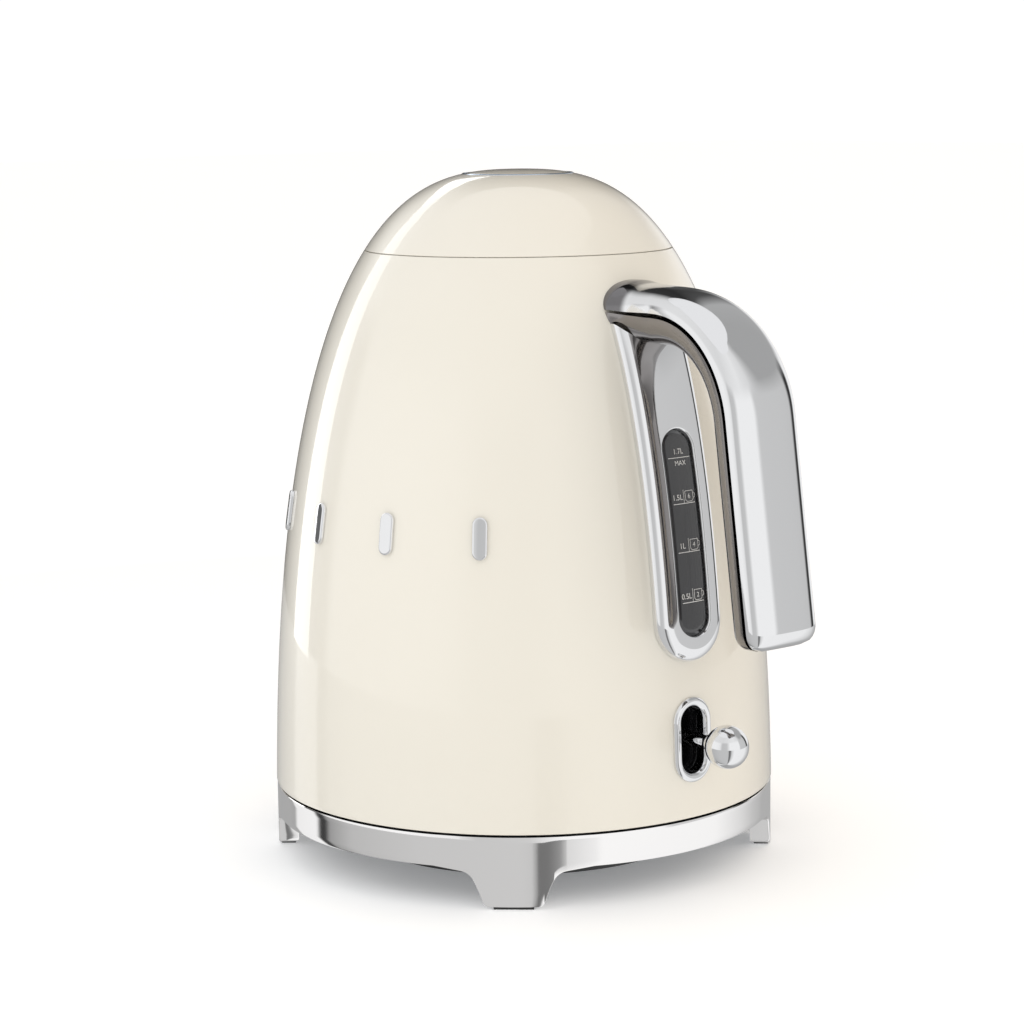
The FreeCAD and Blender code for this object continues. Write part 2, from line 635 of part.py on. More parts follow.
# ----------------------------------------------------------------------------------------------
# Handle
# ----------------------------------------------------------------------------------------------
def grip_path(body, name, start_x, end_x, end_z):
    """Level run, bend and long leg of the handle's centre line, as one tangent path."""
    sk = sketch_on(body, name, "XZ_Plane")
    bend = Vector(float(d.grip_bend_x), float(d.grip_z - d.grip_bend_r), 0)
    end = Vector(float(size(end_x)), float(size(end_z)), 0)
    reach = end - bend
    lean = math.atan2(reach.y, reach.x) + math.acos(float(d.grip_bend_r) / reach.Length)
    touch = bend + Vector(math.cos(lean), math.sin(lean), 0) * float(d.grip_bend_r)
    top = bend + Vector(0, float(d.grip_bend_r), 0)
    sk.addGeometry(Part.LineSegment(Vector(float(size(start_x)), float(d.grip_z), 0), top), False)
    sk.addGeometry(Part.ArcOfCircle(Part.Circle(bend, Vector(0, 0, 1), float(d.grip_bend_r)), lean,
                                    math.pi / 2), False)
    sk.addGeometry(Part.LineSegment(touch, end), False)
    sk.addConstraint(Sketcher.Constraint("Tangent", 0, 2, 1, 2))
    sk.addConstraint(Sketcher.Constraint("Tangent", 1, 1, 2, 1))
    sk.addConstraint(Sketcher.Constraint("Horizontal", 0))
    pin_point(sk, 0, 1, start_x, d.grip_z)
    pin_point(sk, 2, 2, end_x, end_z)
    index = sk.addConstraint(Sketcher.Constraint("Radius", 1, float(d.grip_bend_r)))
    bind(sk, f"Constraints[{index}]", d.grip_bend_r)
    index = sk.addConstraint(Sketcher.Constraint("DistanceX", -1, 1, 1, 3, bend.x))
    bind(sk, f"Constraints[{index}]", d.grip_bend_x)
    return sk


def grip_sweep(name, start_x, end_x, end_z, half_width, low, high):
    """A bar of rectangular section swept along the handle's centre line."""
    body = doc.addObject("PartDesign::Body", name)
    path = grip_path(body, name + "_path", start_x, end_x, end_z)
    section = sketch_on(body, name + "_section", "YZ_Plane", start_x)
    polygon(section, [(-size(half_width), d.grip_z + low), (half_width, d.grip_z + low),
                      (half_width, d.grip_z + high), (-size(half_width), d.grip_z + high)])
    doc.recompute()
    pipe = body.newObject("PartDesign::AdditivePipe", name + "_pipe")
    pipe.Profile = section
    pipe.Spine = (path, ["Edge1", "Edge2", "Edge3"])
    doc.recompute()
    return body


def handle_screw_shanks(owner):
    return [cylinder(f"{owner}_screw{i}", d.screw_r, 74 - bracket_face(), bracket_face(), 0, z, along="x")
            for i, z in enumerate(screw_heights())]


def flange_prism(name, margin):
    """An elliptical bar along +X, the outline of the handle's root."""
    ellipse = Part.Ellipse(Vector(0, 0, 0), float(d.flange_half_y) + margin,
                           float(d.flange_half_z) + margin)
    prism = Part.Face(Part.Wire(ellipse.toShape())).extrude(Vector(0, 0, 60))
    prism.Placement = FreeCAD.Placement(Vector(40, 0, float(d.flange_z)),
                                        FreeCAD.Rotation(Vector(1, 1, 1), 120))
    return shaped(name, prism)


def screw_heights():
    return d.flange_z - 5, d.flange_z + 1.8


def bracket_face():
    """Where the flat back of the handle's inner bracket lies."""
    return crown_radius(float(d.hinge_z) - 3.6) - float(d.steel) * 1.4 - 2.8


def handle_parts():
    outer = grip_sweep("grip", 50, d.grip_end_x, d.grip_end_z, d.grip_width / 2, -(d.grip_thick / 2),
                       d.grip_thick / 2)
    pipe = outer.Tip
    long_edges = [f"Edge{i + 1}" for i, e in enumerate(pipe.Shape.Edges) if is_lengthwise(e)]
    rounding = outer.newObject("PartDesign::Fillet", "grip_rounding")
    rounding.Base = (pipe, long_edges)
    rounding.Radius = 4.5
    doc.recompute()
    cavity = grip_sweep("cavity", 76, d.grip_end_x - 0.5, d.grip_end_z + 3.6, 9.6, -9, 4)
    flange = common("flange", flange_prism("flange_prism", 0),
                    crown_solid("flange_front", float(d.flange_proud), 60, 230))
    grip = fuse("grip_body", outer, flange)
    finished(cut("handle_cut", grip, crown_solid("handle_seat", float(d.run), 60, 234), cavity,
                 *handle_screw_shanks("handle")), "handle_grip")

    cover = grip_sweep("cover", 77, d.grip_end_x - 0.45, d.grip_end_z + 4, 9.4, -7.4, -5)
    finished(cover, "handle_inner_cover")

    block = box("bracket_prism", 30, 20, 15.4, bracket_face(), 0, d.flange_z - 10)
    plate = common("bracket_block", block, crown_solid("bracket_limit", -float(d.steel) - 0.05, 150, 215))
    finished(cut("handle_plate", plate, *handle_screw_shanks("plate")), "handle_bracket")
    screws = []
    for i, shank in enumerate(handle_screw_shanks("fixed")):
        height = screw_heights()[i]
        head = cylinder(f"handle_head{i}", d.screw_r * 1.8, 1.8, bracket_face() - 1.8, 0, height, along="x")
        screws.append(fuse(f"handle_screw{i}", shank, head))
    finished(group("handle_screw_group", *screws), "handle_screws")


def is_lengthwise(edge):
    """True for the grip's long corner edges, which lie at its full half width and run along it."""
    ends = [v.Point for v in edge.Vertexes]
    half = float(d.grip_width) / 2
    same_side = all(abs(abs(p.y) - half) < 0.01 for p in ends) and abs(ends[0].y - ends[-1].y) < 0.01
    at_end = all(abs(p.x - 50) < 0.5 for p in ends)
    return same_side and not at_end and edge.Length > 16


# ----------------------------------------------------------------------------------------------
# Lid, button, latch and hinge
# ----------------------------------------------------------------------------------------------
def lid_parts():
    low = float(d.seam_z + d.seam_gap)
    dome = cut("dome", crown_solid("dome_out", 0, low, float(d.crown_top)),
               crown_solid("dome_in", -float(d.steel), low - 1, float(d.crown_top)),
               cylinder("dome_hole", d.ring_r, 30, z=220))
    finished(dome, "lid_shell")

    ring_in = d.button_r + 0.25
    ring = cut("ring_body", tube("ring_tube", d.ring_r, ring_in, 12, z=228), cut(
        "ring_above", cylinder("ring_cap", 30, 12, z=230),
        crown_solid("ring_top", 0.25, 200, float(d.crown_top))))
    finished(ring, "lid_ring")

    cap = common("cap", cylinder("cap_disc", d.button_r, 20, z=230.5),
                 crown_solid("cap_top", 0, 200, float(d.crown_top)))
    cap_hollow = cylinder("cap_hollow", d.button_r - 1.4, 3, z=230.5)
    stem = cylinder("cap_stem", 4, 25, z=208.8)
    finished(fuse("button", cut("cap_cut", cap, cap_hollow), stem), "lid_button")

    flange_z = d.seam_z + d.seam_gap + 0.2
    wall, floor = 1.2, 202.0
    liner = revolved("liner", [
        (0, floor), (d.plug_wall_r, floor), (d.plug_wall_r, flange_z), (50.2, flange_z),
        (50.2, flange_z + 1.2),
        (d.plug_wall_r - wall, flange_z + 1.2), (d.plug_wall_r - wall, floor + 1), (0, floor + 1)])
    window = box("bolt_window", 10, 9, d.bolt_thick + 0.4, -d.plug_wall_r - 4, 0, d.bolt_z - 0.2)
    finished(cut("liner_cut", liner, window), "lid_liner")
    finished(tube("lid_gasket", 47.4, 44.6, flange_z - d.seam_z + 0.55, z=d.seam_z - 0.55), "lid_seal")

    rails = [box(f"rail{i}", 34, 2, 2.8, -36, 5.4 * side, floor + 1) for i, side in enumerate((-1, 1))]
    guide = tube("guide", 12.5, 9.5, 17, z=floor + 3.8)
    guide_floor = tube("guide_floor", 10, 4.6, 1, z=floor + 3.8)
    finished(fuse("latch_frame", guide, guide_floor, *rails), "latch_housing")
    finished(box("bolt", d.bolt_reach - 8, 8, d.bolt_thick, -d.bolt_reach, 0, d.bolt_z), "latch_bolt")
    finished(button_spring(), "button_spring")


def button_spring():
    """Six turns of wire round the button's stem, each turn made of two half rings tilted opposite ways."""
    low, high, coil_r, wire_r, turns = 206.82, 233.45, 6.4, 0.45, 6
    rise = (high - low - 2 * wire_r) / turns / 2
    halves = []
    for i in range(2 * turns):
        side = 1 if i % 2 == 0 else -1
        start = Vector(side * coil_r, 0, low + wire_r + rise * i)
        end = Vector(-side * coil_r, 0, low + wire_r + rise * (i + 1))
        centre = (start + end) / 2
        along, across = (start - centre).normalize(), Vector(0, side, 0)
        ring = doc.addObject("Part::Torus", f"half_ring{i}")
        ring.Radius1 = start.distanceToPoint(centre)
        ring.Radius2 = wire_r
        ring.Angle3 = 180
        ring.Placement = FreeCAD.Placement(centre,
                                           FreeCAD.Rotation(along, across, along.cross(across), "XYZ"))
        halves.append(ring)
    return fuse("spring_coil", *halves)


def collar_and_hinge():
    top, thick = d.seam_z - d.seam_gap - 0.3, 3.2
    slab = cylinder("deck_slab", 70, thick, z=top - thick)
    deck = cut("deck", common("deck_disc", slab, crown_solid("deck_out", -float(d.steel) - 0.1, 195, 216)),
               cylinder("deck_mouth", d.mouth_r, 20, z=top - 12))
    pocket = box("deck_pocket", 30, 17, 20, 36, 0, top - 12)
    finished(cut("deck_cut", deck, pocket), "neck_collar")

    arm_low, arm_high = d.hinge_z - d.knuckle_r, d.hinge_z + d.knuckle_r
    leg_in, leg_out = d.plug_wall_r + 0.2, d.plug_wall_r + 2.4
    arms = []
    for i, side in enumerate((-1, 1)):
        bar = box(f"arm_foot{i}", d.hinge_x - leg_in, 3, arm_high - arm_low, leg_in, 4.9 * side, arm_low)
        leg = box(f"arm_leg{i}", leg_out - leg_in, 3, d.seam_z + d.seam_gap + 0.2 - arm_low, leg_in,
                  4.9 * side, arm_low)
        knuckle = cylinder(f"arm_knuckle{i}", d.knuckle_r, 3, d.hinge_x, 4.9 * side - 1.5, d.hinge_z,
                           along="y")
        arms.append(fuse(f"arm_solid{i}", bar, leg, knuckle))
    web = box("arm_web", leg_out - leg_in, 9.8, 3, leg_in, 0, d.seam_z + d.seam_gap + 0.2 - 3)
    arm_bore = cylinder("hinge_bore", d.hinge_pin_r + d.run, 20, d.hinge_x, -10, d.hinge_z, along="y")
    finished(cut("hinge_arms", fuse("arm_pair", *arms, web), arm_bore), "lid_hinge_arms")

    lug = fuse("lug", cylinder("lug_knuckle", d.knuckle_r, 6, d.hinge_x, -3, d.hinge_z, along="y"),
               box("lug_arm", 12, 6, d.knuckle_r * 2, d.hinge_x, 0, d.hinge_z - d.knuckle_r))
    bounds = crown_solid("lug_bounds", -float(d.steel) - 0.05, 150, 215)
    pad = skin_layer("lug_pad", box("lug_pad_prism", 60, 16, 6, 30, 0, d.hinge_z - 2.8),
                     -float(d.steel) - 1.1,
                     -float(d.steel) - 0.05)
    bracket = fuse("bracket_solid", common("lug_trim", lug, bounds), pad)
    finished(cut("lug_cut", bracket, cylinder("lug_bore", d.hinge_pin_r, 20, d.hinge_x, -10, d.hinge_z,
                                              along="y")),
             "hinge_bracket")
    finished(cylinder("pin", d.hinge_pin_r, 15, d.hinge_x, -7.5, d.hinge_z, along="y"), "hinge_pin")


# ----------------------------------------------------------------------------------------------
# Spout and its filter
# ----------------------------------------------------------------------------------------------
def spout_section(x, half_width, top, depth):
    """A closed U: a level top and a rounded keel below it."""
    corners = [Vector(x, -half_width, top), Vector(x, -half_width * 0.72, top - depth * 0.5),
               Vector(x, 0, top - depth),
               Vector(x, half_width * 0.72, top - depth * 0.5), Vector(x, half_width, top)]
    keel = Part.BSplineCurve()
    keel.interpolate(corners)
    return Part.Wire([keel.toShape(), Part.LineSegment(corners[-1], corners[0]).toShape()])


def spout_loft(inset):
    """The beak's outside, or its channel when inset by the metal's thickness."""
    tip, top = float(d.spout_tip), float(d.spout_top)
    stations = [(-44.0, 15.5, 34.0, 0.0), (-58.0, 13.2, 30.0, 0.0), (-74.0, 8.6, 19.0, 1.6),
                (-tip, 2.6, 4.6, 4.2)]
    raised = 6.0 if inset else 0.0
    wires = []
    for x, half, depth, drop in stations:
        shift = inset * 2.5 if (inset and x == -tip) else 0.0
        wires.append(spout_section(x - shift, half - inset, top - drop + raised, depth - inset + raised))
    return Part.makeLoft(wires, True, False)


def spout_parts():
    channel = shaped("channel", spout_loft(1.0))
    band = box("channel_band", 90, 60, 48.8, -130, 0, d.spout_top - 50)
    passage = common("passage", channel, band)
    beak = shaped("beak_outer", spout_loft(0.0))
    finished(cut("beak", beak, shaped("beak_channel", spout_loft(1.0)),
                 crown_solid("beak_seat", float(d.hair), 60, 234)),
             "spout")
    return passage


def filter_parts():
    frame_x, thick, wide, tall = -49.6, 1.6, 27.0, 24.0
    low = d.spout_top - tall - 3.4
    frame = box("filter_out", thick, wide, tall, frame_x, 0, low)
    hole = box("filter_in", 4, wide - 5, tall - 5, frame_x - 1, 0, low + 2.5)
    tab = box("filter_tab", 5, 8, 1.6, frame_x + thick, 0, low + tall - 1.6)
    finished(fuse("filter_body", cut("filter_ring", frame, hole), tab), "filter_frame")
    finished(box("filter_screen", 0.4, wide - 5, tall - 5, frame_x + 0.6, 0, low + 2.5), "filter_mesh")
    rails = [box(f"filter_rail{i}", 26, 1.2, tall - 4, -70, (wide / 2 + 1) * side, low + 1)
             for i, side in enumerate((-1, 1))]
    inside = crown_solid("rail_bounds", -float(d.steel) - 0.05, 150, 215)
    finished(group("filter_rail_pair", *[common(f"rail_trim{i}", rail, inside) for i,
                                         rail in enumerate(rails)]),
             "filter_rails")


# ----------------------------------------------------------------------------------------------
# Plain raised studs on the side
# ----------------------------------------------------------------------------------------------
STUD_ANGLES = (-49.5, -72.9, -96.2, -119.6)
STUD_Z, STUD_WIDTH, STUD_HEIGHT, STUD_PROUD = 121.1, 5.0, 13.8, 1.3


def side_studs():
    studs = []
    for i, angle in enumerate(STUD_ANGLES):
        prism = stadium(f"stud_prism{i}", STUD_WIDTH, STUD_Z - STUD_HEIGHT / 2,
                        STUD_Z + STUD_HEIGHT / 2, 60, 40)
        stud = skin_layer(f"stud{i}_layer", prism, float(d.run), STUD_PROUD)
        doc.recompute()
        solid = stud.Shape.copy()
        solid.rotate(Vector(0, 0, 0), Vector(0, 0, 1), angle)
        studs.append(shaped(f"side_stud{i}", solid))
    finished(group("side_stud_group", *studs), "side_studs")


# ----------------------------------------------------------------------------------------------
# Build, check and write
# ----------------------------------------------------------------------------------------------
def build():
    base_parts()
    base_plug()
    passage = spout_parts()
    body_shell(passage)
    underside()
    heater()
    lever_parts()
    gauge_parts()
    handle_parts()
    lid_parts()
    collar_and_hinge()
    filter_parts()
    side_studs()
    doc.recompute()


def check_and_write():
    broken = [o.Name for o in doc.Objects if {"Invalid", "Error"} & set(o.State)]
    if broken:
        raise RuntimeError(f"failed objects: {broken}")
    os.makedirs("parts", exist_ok=True)
    for old in os.listdir("parts"):
        os.remove(os.path.join("parts", old))
    for obj in keep:
        shape = obj.Shape
        if shape.isNull() or not shape.isValid() or not shape.Solids:
            raise RuntimeError(f"{obj.Label} has no valid solid")
        shape.exportStep(f"parts/{obj.Label}.step")
        print(f"{obj.Label:22s} {len(shape.Solids)} solid(s) {shape.Volume / 1000:9.3f} cm3")
    print(len(keep), "nodes")


build()
check_and_write()
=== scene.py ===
"""Looks for the bullet-shaped electric kettle: smooth outer surfaces, finishes, light and camera.

Positions are worked out in millimetres and turned into metres when a mesh is made.
"""

import json
import math

import bmesh
import bpy
import numpy as np
from mathutils import Matrix, Vector

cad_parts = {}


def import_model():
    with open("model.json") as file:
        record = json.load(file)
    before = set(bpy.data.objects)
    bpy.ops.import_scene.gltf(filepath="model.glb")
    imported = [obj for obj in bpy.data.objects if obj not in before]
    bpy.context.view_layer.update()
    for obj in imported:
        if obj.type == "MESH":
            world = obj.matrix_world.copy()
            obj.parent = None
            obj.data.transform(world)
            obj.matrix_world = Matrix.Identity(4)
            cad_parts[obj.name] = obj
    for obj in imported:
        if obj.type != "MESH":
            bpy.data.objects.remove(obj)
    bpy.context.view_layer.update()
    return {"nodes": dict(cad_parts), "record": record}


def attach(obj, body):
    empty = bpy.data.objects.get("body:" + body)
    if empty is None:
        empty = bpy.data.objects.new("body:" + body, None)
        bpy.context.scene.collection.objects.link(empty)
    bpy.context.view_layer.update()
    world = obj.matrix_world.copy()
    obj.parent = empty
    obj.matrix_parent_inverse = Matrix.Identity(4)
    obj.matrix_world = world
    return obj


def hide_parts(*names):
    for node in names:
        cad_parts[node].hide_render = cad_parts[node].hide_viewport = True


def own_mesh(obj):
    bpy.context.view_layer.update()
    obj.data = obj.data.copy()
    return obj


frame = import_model()
NODES = frame["nodes"]
MM = 0.001

# ---------------------------------------------------------------------------------------------
# Sizes of the shapes, in millimetres, the same as the frame's
# ---------------------------------------------------------------------------------------------
CROWN_R, CROWN_LOW, CROWN_TOP, CROWN_P, CROWN_Q = 87.47, -11.35, 236.36, 2.484, 0.3611
SEAM_Z, SEAM_GAP, STEEL = 209.35, 0.09, 0.9
BODY_LOW = 25.0
FLANGE_Z, FLANGE_HALF_Y = 192.0, 14.5
GAUGE_LOW, GAUGE_HIGH, GAUGE_HALF = 85.5, 153.0, 6.8
STRIP_LOW, STRIP_HALF, STRIP_PROUD = 77.3, 13.8, 4.4
SLOT_Z, SLOT_HALF_Y, SLOT_HALF_Z = 51.3, 5.0, 11.1


# ---------------------------------------------------------------------------------------------
# Shape functions
# ---------------------------------------------------------------------------------------------
def crown_radius(z):
    u = np.clip((np.asarray(z, float) - CROWN_LOW) / (CROWN_TOP - CROWN_LOW), 0, 1)
    return CROWN_R * (1 - u**CROWN_P) ** CROWN_Q


def crown_height(r):
    share = (1 - (np.asarray(r, float) / CROWN_R) ** (1 / CROWN_Q)) ** (1 / CROWN_P)
    return CROWN_LOW + share * (CROWN_TOP - CROWN_LOW)


def crown_normal(z):
    """Outward normal of the bullet profile, as its parts along the radius and along Z."""
    z = np.asarray(z, float)
    slope = (crown_radius(z + 0.02) - crown_radius(z - 0.02)) / 0.04
    length = np.sqrt(1 + slope**2)
    return 1 / length, -slope / length


def on_crown(y, z, offset):
    """Points of the body's surface on the handle's side at y, z, moved outward by offset."""
    y, z, offset = np.broadcast_arrays(*(np.asarray(v, float) for v in (y, z, offset)))
    radius = crown_radius(z)
    x = np.sqrt(np.maximum(radius**2 - y**2, 0))
    out, up = crown_normal(z)
    grow = 1 + offset * out / radius
    return np.stack([x * grow, y * grow, z + offset * up], -1)


def unit(vectors):
    """The same directions, each of length one."""
    return vectors / np.linalg.norm(vectors, axis=-1, keepdims=True)


def resample(line, steps):
    """Evenly spaced points along a line, and their distances from its start."""
    run = np.concatenate([[0], np.cumsum(np.linalg.norm(np.diff(line, axis=0), axis=1))])
    at = np.linspace(0, run[-1], steps)
    return np.stack([np.interp(at, run, line[:, 0]), np.interp(at, run, line[:, 1])], -1), at


def crown_curve(offset, low, high, steps):
    """Evenly spaced (radius, height) points of the profile moved outward by offset."""
    fine = np.linspace(0, 1, 4000)
    top_r = float(crown_radius(high))
    bend = max(float(crown_height(0.62 * CROWN_R)), low)
    lower_z = low + (bend - low) * fine
    lower = np.stack([crown_radius(lower_z), lower_z], -1)
    upper_r = float(crown_radius(bend)) + (top_r - float(crown_radius(bend))) * fine
    upper = np.stack([upper_r, crown_height(upper_r)], -1)
    line = np.concatenate([lower, upper[1:]]) if bend > low + 0.01 else upper
    step = np.gradient(line, axis=0)
    line = line + unit(np.stack([step[:, 1], -step[:, 0]], -1)) * offset
    line[:, 0] = np.maximum(line[:, 0], 0)
    return resample(line, steps)[0]


def rounded(points, steps=5):
    """A flat outline with each (x, y, radius) corner turned into an arc."""
    out = []
    for i, (x, y, radius) in enumerate(points):
        if radius <= 0:
            out.append((x, y))
            continue
        here = Vector((x, y))
        before = Vector(points[i - 1][:2]) - here
        after = Vector(points[(i + 1) % len(points)][:2]) - here
        reach = min(radius, before.length * 0.49, after.length * 0.49)
        start, end = here + before.normalized() * reach, here + after.normalized() * reach
        for k in range(steps + 1):
            t = k / steps
            out.append(tuple(start * (1 - t) ** 2 + here * (2 * t * (1 - t)) + end * t**2))
    return out


def stadium(radius, low, high, count):
    """Points round an upright outline with round ends, with their outward directions."""
    side = high - low - 2 * radius
    total = 2 * side + 2 * math.pi * radius
    points, normals = [], []
    for k in range(count):
        s = total * k / count
        if s < side:
            points.append((radius, low + radius + s))
            normals.append((1, 0))
            continue
        s -= side
        if s < math.pi * radius:
            a = s / radius
            points.append((radius * math.cos(a), high - radius + radius * math.sin(a)))
            normals.append((math.cos(a), math.sin(a)))
            continue
        s -= math.pi * radius
        if s < side:
            points.append((-radius, high - radius - s))
            normals.append((-1, 0))
            continue
        a = math.pi + (s - side) / radius
        points.append((radius * math.cos(a), low + radius + radius * math.sin(a)))
        normals.append((math.cos(a), math.sin(a)))
    return np.array(points), np.array(normals)


# ---------------------------------------------------------------------------------------------
# Mesh makers
# ---------------------------------------------------------------------------------------------
def new_mesh(name, points, faces):
    """A mesh from points in millimetres."""
    mesh = bpy.data.meshes.new(name)
    mesh.from_pydata([tuple(p) for p in np.asarray(points, float) * MM], [], [tuple(f) for f in faces])
    return mesh


def new_object(name, data):
    """An object in the scene."""
    holder = bpy.data.objects.new(name, data)
    bpy.context.scene.collection.objects.link(holder)
    return holder


def make(name, points, faces, material, body, hides=(), sharp=40):
    """A smooth-shaded mesh piece from points in millimetres, riding on a body."""
    mesh = new_mesh(name, points, faces)
    mesh.validate()
    mesh.update()
    return finish_piece(name, mesh, material, body, hides, sharp)


def face_outward(mesh):
    """Turns every face of a closed mesh to point out of it."""
    work = bmesh.new()
    work.from_mesh(mesh)
    bmesh.ops.recalc_face_normals(work, faces=work.faces)
    work.to_mesh(mesh)
    work.free()


def finish_piece(name, mesh, material, body, hides, sharp):
    face_outward(mesh)
    mesh.shade_smooth()
    if sharp:
        mesh.set_sharp_from_angle(angle=math.radians(sharp))
    mesh.materials.clear()
    mesh.materials.append(material)
    piece = new_object(name, mesh)
    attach(piece, body)
    if hides:
        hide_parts(*hides)
    return piece


def clamp(value):
    return min(1.0, max(0.0, value))


def grid_faces(rows, columns, close_rows=False, close_columns=False):
    faces = []
    for i in range(rows if close_rows else rows - 1):
        for j in range(columns if close_columns else columns - 1):
            a, b = i * columns, ((i + 1) % rows) * columns
            k = (j + 1) % columns
            faces.append((a + j, a + k, b + k, b + j))
    return faces


def lathe(profile, segments):
    """Points and faces of a closed (radius, height) profile turned about Z; radius 0 is one point."""
    points, faces, rings = [], [], []
    for r, z in profile:
        if r < 1e-5:
            rings.append([len(points)] * segments)
            points.append((0, 0, z))
            continue
        rings.append(list(range(len(points), len(points) + segments)))
        for k in range(segments):
            a = 2 * math.pi * k / segments
            points.append((r * math.cos(a), r * math.sin(a), z))
    count = len(rings)
    for i in range(count):
        low, high = rings[i], rings[(i + 1) % count]
        for k in range(segments):
            n = (k + 1) % segments
            face = list(dict.fromkeys([low[k], low[n], high[n], high[k]]))
            if len(face) > 2:
                faces.append(face)
    return points, faces


def turned_to_x(points, x, z):
    """Points made about Z turned so that their axis lies along X at height z."""
    p = np.asarray(points, float)
    return np.stack([p[:, 2] + x, p[:, 1], -p[:, 0] + z], -1)


def sleeve(outline_rows, close=True):
    """Points and faces of a ring of cross-sections: rows run round the ring."""
    rows, columns = outline_rows.shape[:2]
    return outline_rows.reshape(-1, 3), grid_faces(rows, columns, close, True)


def cut_by(piece_points, piece_faces, cutters):
    """The mesh left after closed cutters are taken out of a closed mesh."""
    base = new_mesh("cut_base", piece_points, piece_faces)
    face_outward(base)
    target = new_object("cut_target", base)
    spare = []
    for i, (points, faces) in enumerate(cutters):
        mesh = new_mesh(f"cutter{i}", points, faces)
        face_outward(mesh)
        tool = new_object(f"cutter{i}", mesh)
        spare.append(tool)
        modifier = target.modifiers.new(f"cut{i}", "BOOLEAN")
        modifier.operation, modifier.solver, modifier.object = "DIFFERENCE", "EXACT", tool
    bpy.context.view_layer.update()
    result = bpy.data.meshes.new_from_object(target.evaluated_get(bpy.context.evaluated_depsgraph_get()))
    for tool in (*spare, target):
        bpy.data.objects.remove(tool)
    return result


def prism_x(outline, low_x, high_x):
    """A closed bar along X from an outline in the YZ plane."""
    count = len(outline)
    points = [(low_x, y, z) for y, z in outline] + [(high_x, y, z) for y, z in outline]
    faces = [tuple(range(count)), tuple(range(2 * count - 1, count - 1, -1))]
    faces += [(k, k + count, (k + 1) % count + count, (k + 1) % count) for k in range(count)]
    return points, faces


# ---------------------------------------------------------------------------------------------
# Materials
# ---------------------------------------------------------------------------------------------
def set_input(shader, **values):
    for key, value in values.items():
        socket = shader.inputs[key.replace("_", " ")]
        socket.default_value = (*value, 1) if isinstance(value, tuple) and len(value) == 3 else value


def add(owner, kind, **settings):
    """A node in a material's or world's tree."""
    node = owner.node_tree.nodes.new(kind)
    for key, value in settings.items():
        setattr(node, key, value)
    return node


def join(owner, start, end):
    owner.node_tree.links.new(start, end)


def map_range(owner, value, low, high, to_low=0.0, to_high=1.0, **settings):
    """Carries a value from one range to another."""
    node = add(owner, "ShaderNodeMapRange", **settings)
    node.inputs["From Min"].default_value, node.inputs["From Max"].default_value = low, high
    node.inputs["To Min"].default_value, node.inputs["To Max"].default_value = to_low, to_high
    join(owner, value, node.inputs["Value"])
    return node.outputs["Result"]


def mix_colors(owner, factor, first, second):
    """Mixes two colours, each a tuple or a socket, by a factor."""
    node = add(owner, "ShaderNodeMix", data_type="RGBA")
    join(owner, factor, node.inputs["Factor"])
    for key, color in (("A", first), ("B", second)):
        if isinstance(color, tuple):
            node.inputs[key].default_value = (*color, 1)
        else:
            join(owner, color, node.inputs[key])
    return node.outputs["Result"]


def principled(material):
    return next(n for n in material.node_tree.nodes if n.type == "BSDF_PRINCIPLED")


def base_material(name, color, **values):
    material = bpy.data.materials.new(name)
    material.use_nodes = True
    shader = principled(material)
    set_input(shader, Base_Color=color, **values)
    return material, shader


def object_noise(material, scale, detail=3.0, stretch=(1, 1, 1)):
    """Noise in the object's own space, so that it stays with the piece."""
    where = add(material, "ShaderNodeTexCoord")
    mapping = add(material, "ShaderNodeMapping")
    mapping.inputs["Scale"].default_value = stretch
    noise = add(material, "ShaderNodeTexNoise")
    noise.inputs["Scale"].default_value = scale
    noise.inputs["Detail"].default_value = detail
    join(material, where.outputs["Object"], mapping.inputs["Vector"])
    join(material, mapping.outputs["Vector"], noise.inputs["Vector"])
    return noise


def vary(material, shader, socket, noise, low, high):
    """Drives a shader input between two values by noise."""
    value = map_range(material, noise.outputs["Fac"], 0.3, 0.7, low, high)
    join(material, value, shader.inputs[socket])


def tint(material, shader, noise, first, second):
    """Mixes two close colours by noise."""
    ramp = add(material, "ShaderNodeValToRGB")
    ramp.color_ramp.elements[0].position, ramp.color_ramp.elements[1].position = 0.35, 0.65
    ramp.color_ramp.elements[0].color = (*first, 1)
    ramp.color_ramp.elements[1].color = (*second, 1)
    join(material, noise.outputs["Fac"], ramp.inputs["Fac"])
    join(material, ramp.outputs["Color"], shader.inputs["Base Color"])


def bump(material, shader, noise, strength, distance):
    node = add(material, "ShaderNodeBump")
    node.inputs["Strength"].default_value = strength
    node.inputs["Distance"].default_value = distance
    join(material, noise.outputs["Fac"], node.inputs["Height"])
    join(material, node.outputs["Normal"], shader.inputs["Normal"])


def enamel():
    """Thick cream paint under a clear gloss coat, with the faintest orange peel."""
    cream, deeper = (0.832, 0.797, 0.708), (0.822, 0.785, 0.693)
    material, shader = base_material("enamel_cream", cream, Roughness=0.32, Coat_Weight=1.0,
                                     Coat_Roughness=0.025)
    tint(material, shader, object_noise(material, 9.0), cream, deeper)
    bump(material, shader, object_noise(material, 420.0, 1.0), 0.02, 0.0002)
    return material


def polished(name, color, low, high):
    material, shader = base_material(name, color, Metallic=1.0, Roughness=low)
    vary(material, shader, "Roughness", object_noise(material, 35.0, 5.0), low, high)
    bump(material, shader, object_noise(material, 900.0, 2.0), 0.012, 0.0001)
    return material


def paint_dark_reflection_at_root(material, low_x, high_x, dark, bright):
    """Painted dark reflection at the handle's root: fades the metal's colour from dark at the body to
    bright further out along X, in metres.
    """
    where = add(material, "ShaderNodeTexCoord")
    parts = add(material, "ShaderNodeSeparateXYZ")
    join(material, where.outputs["Object"], parts.inputs[0])
    share = map_range(material, parts.outputs["X"], low_x, high_x, interpolation_type="SMOOTHSTEP")
    join(material, mix_colors(material, share, dark, bright), principled(material).inputs["Base Color"])


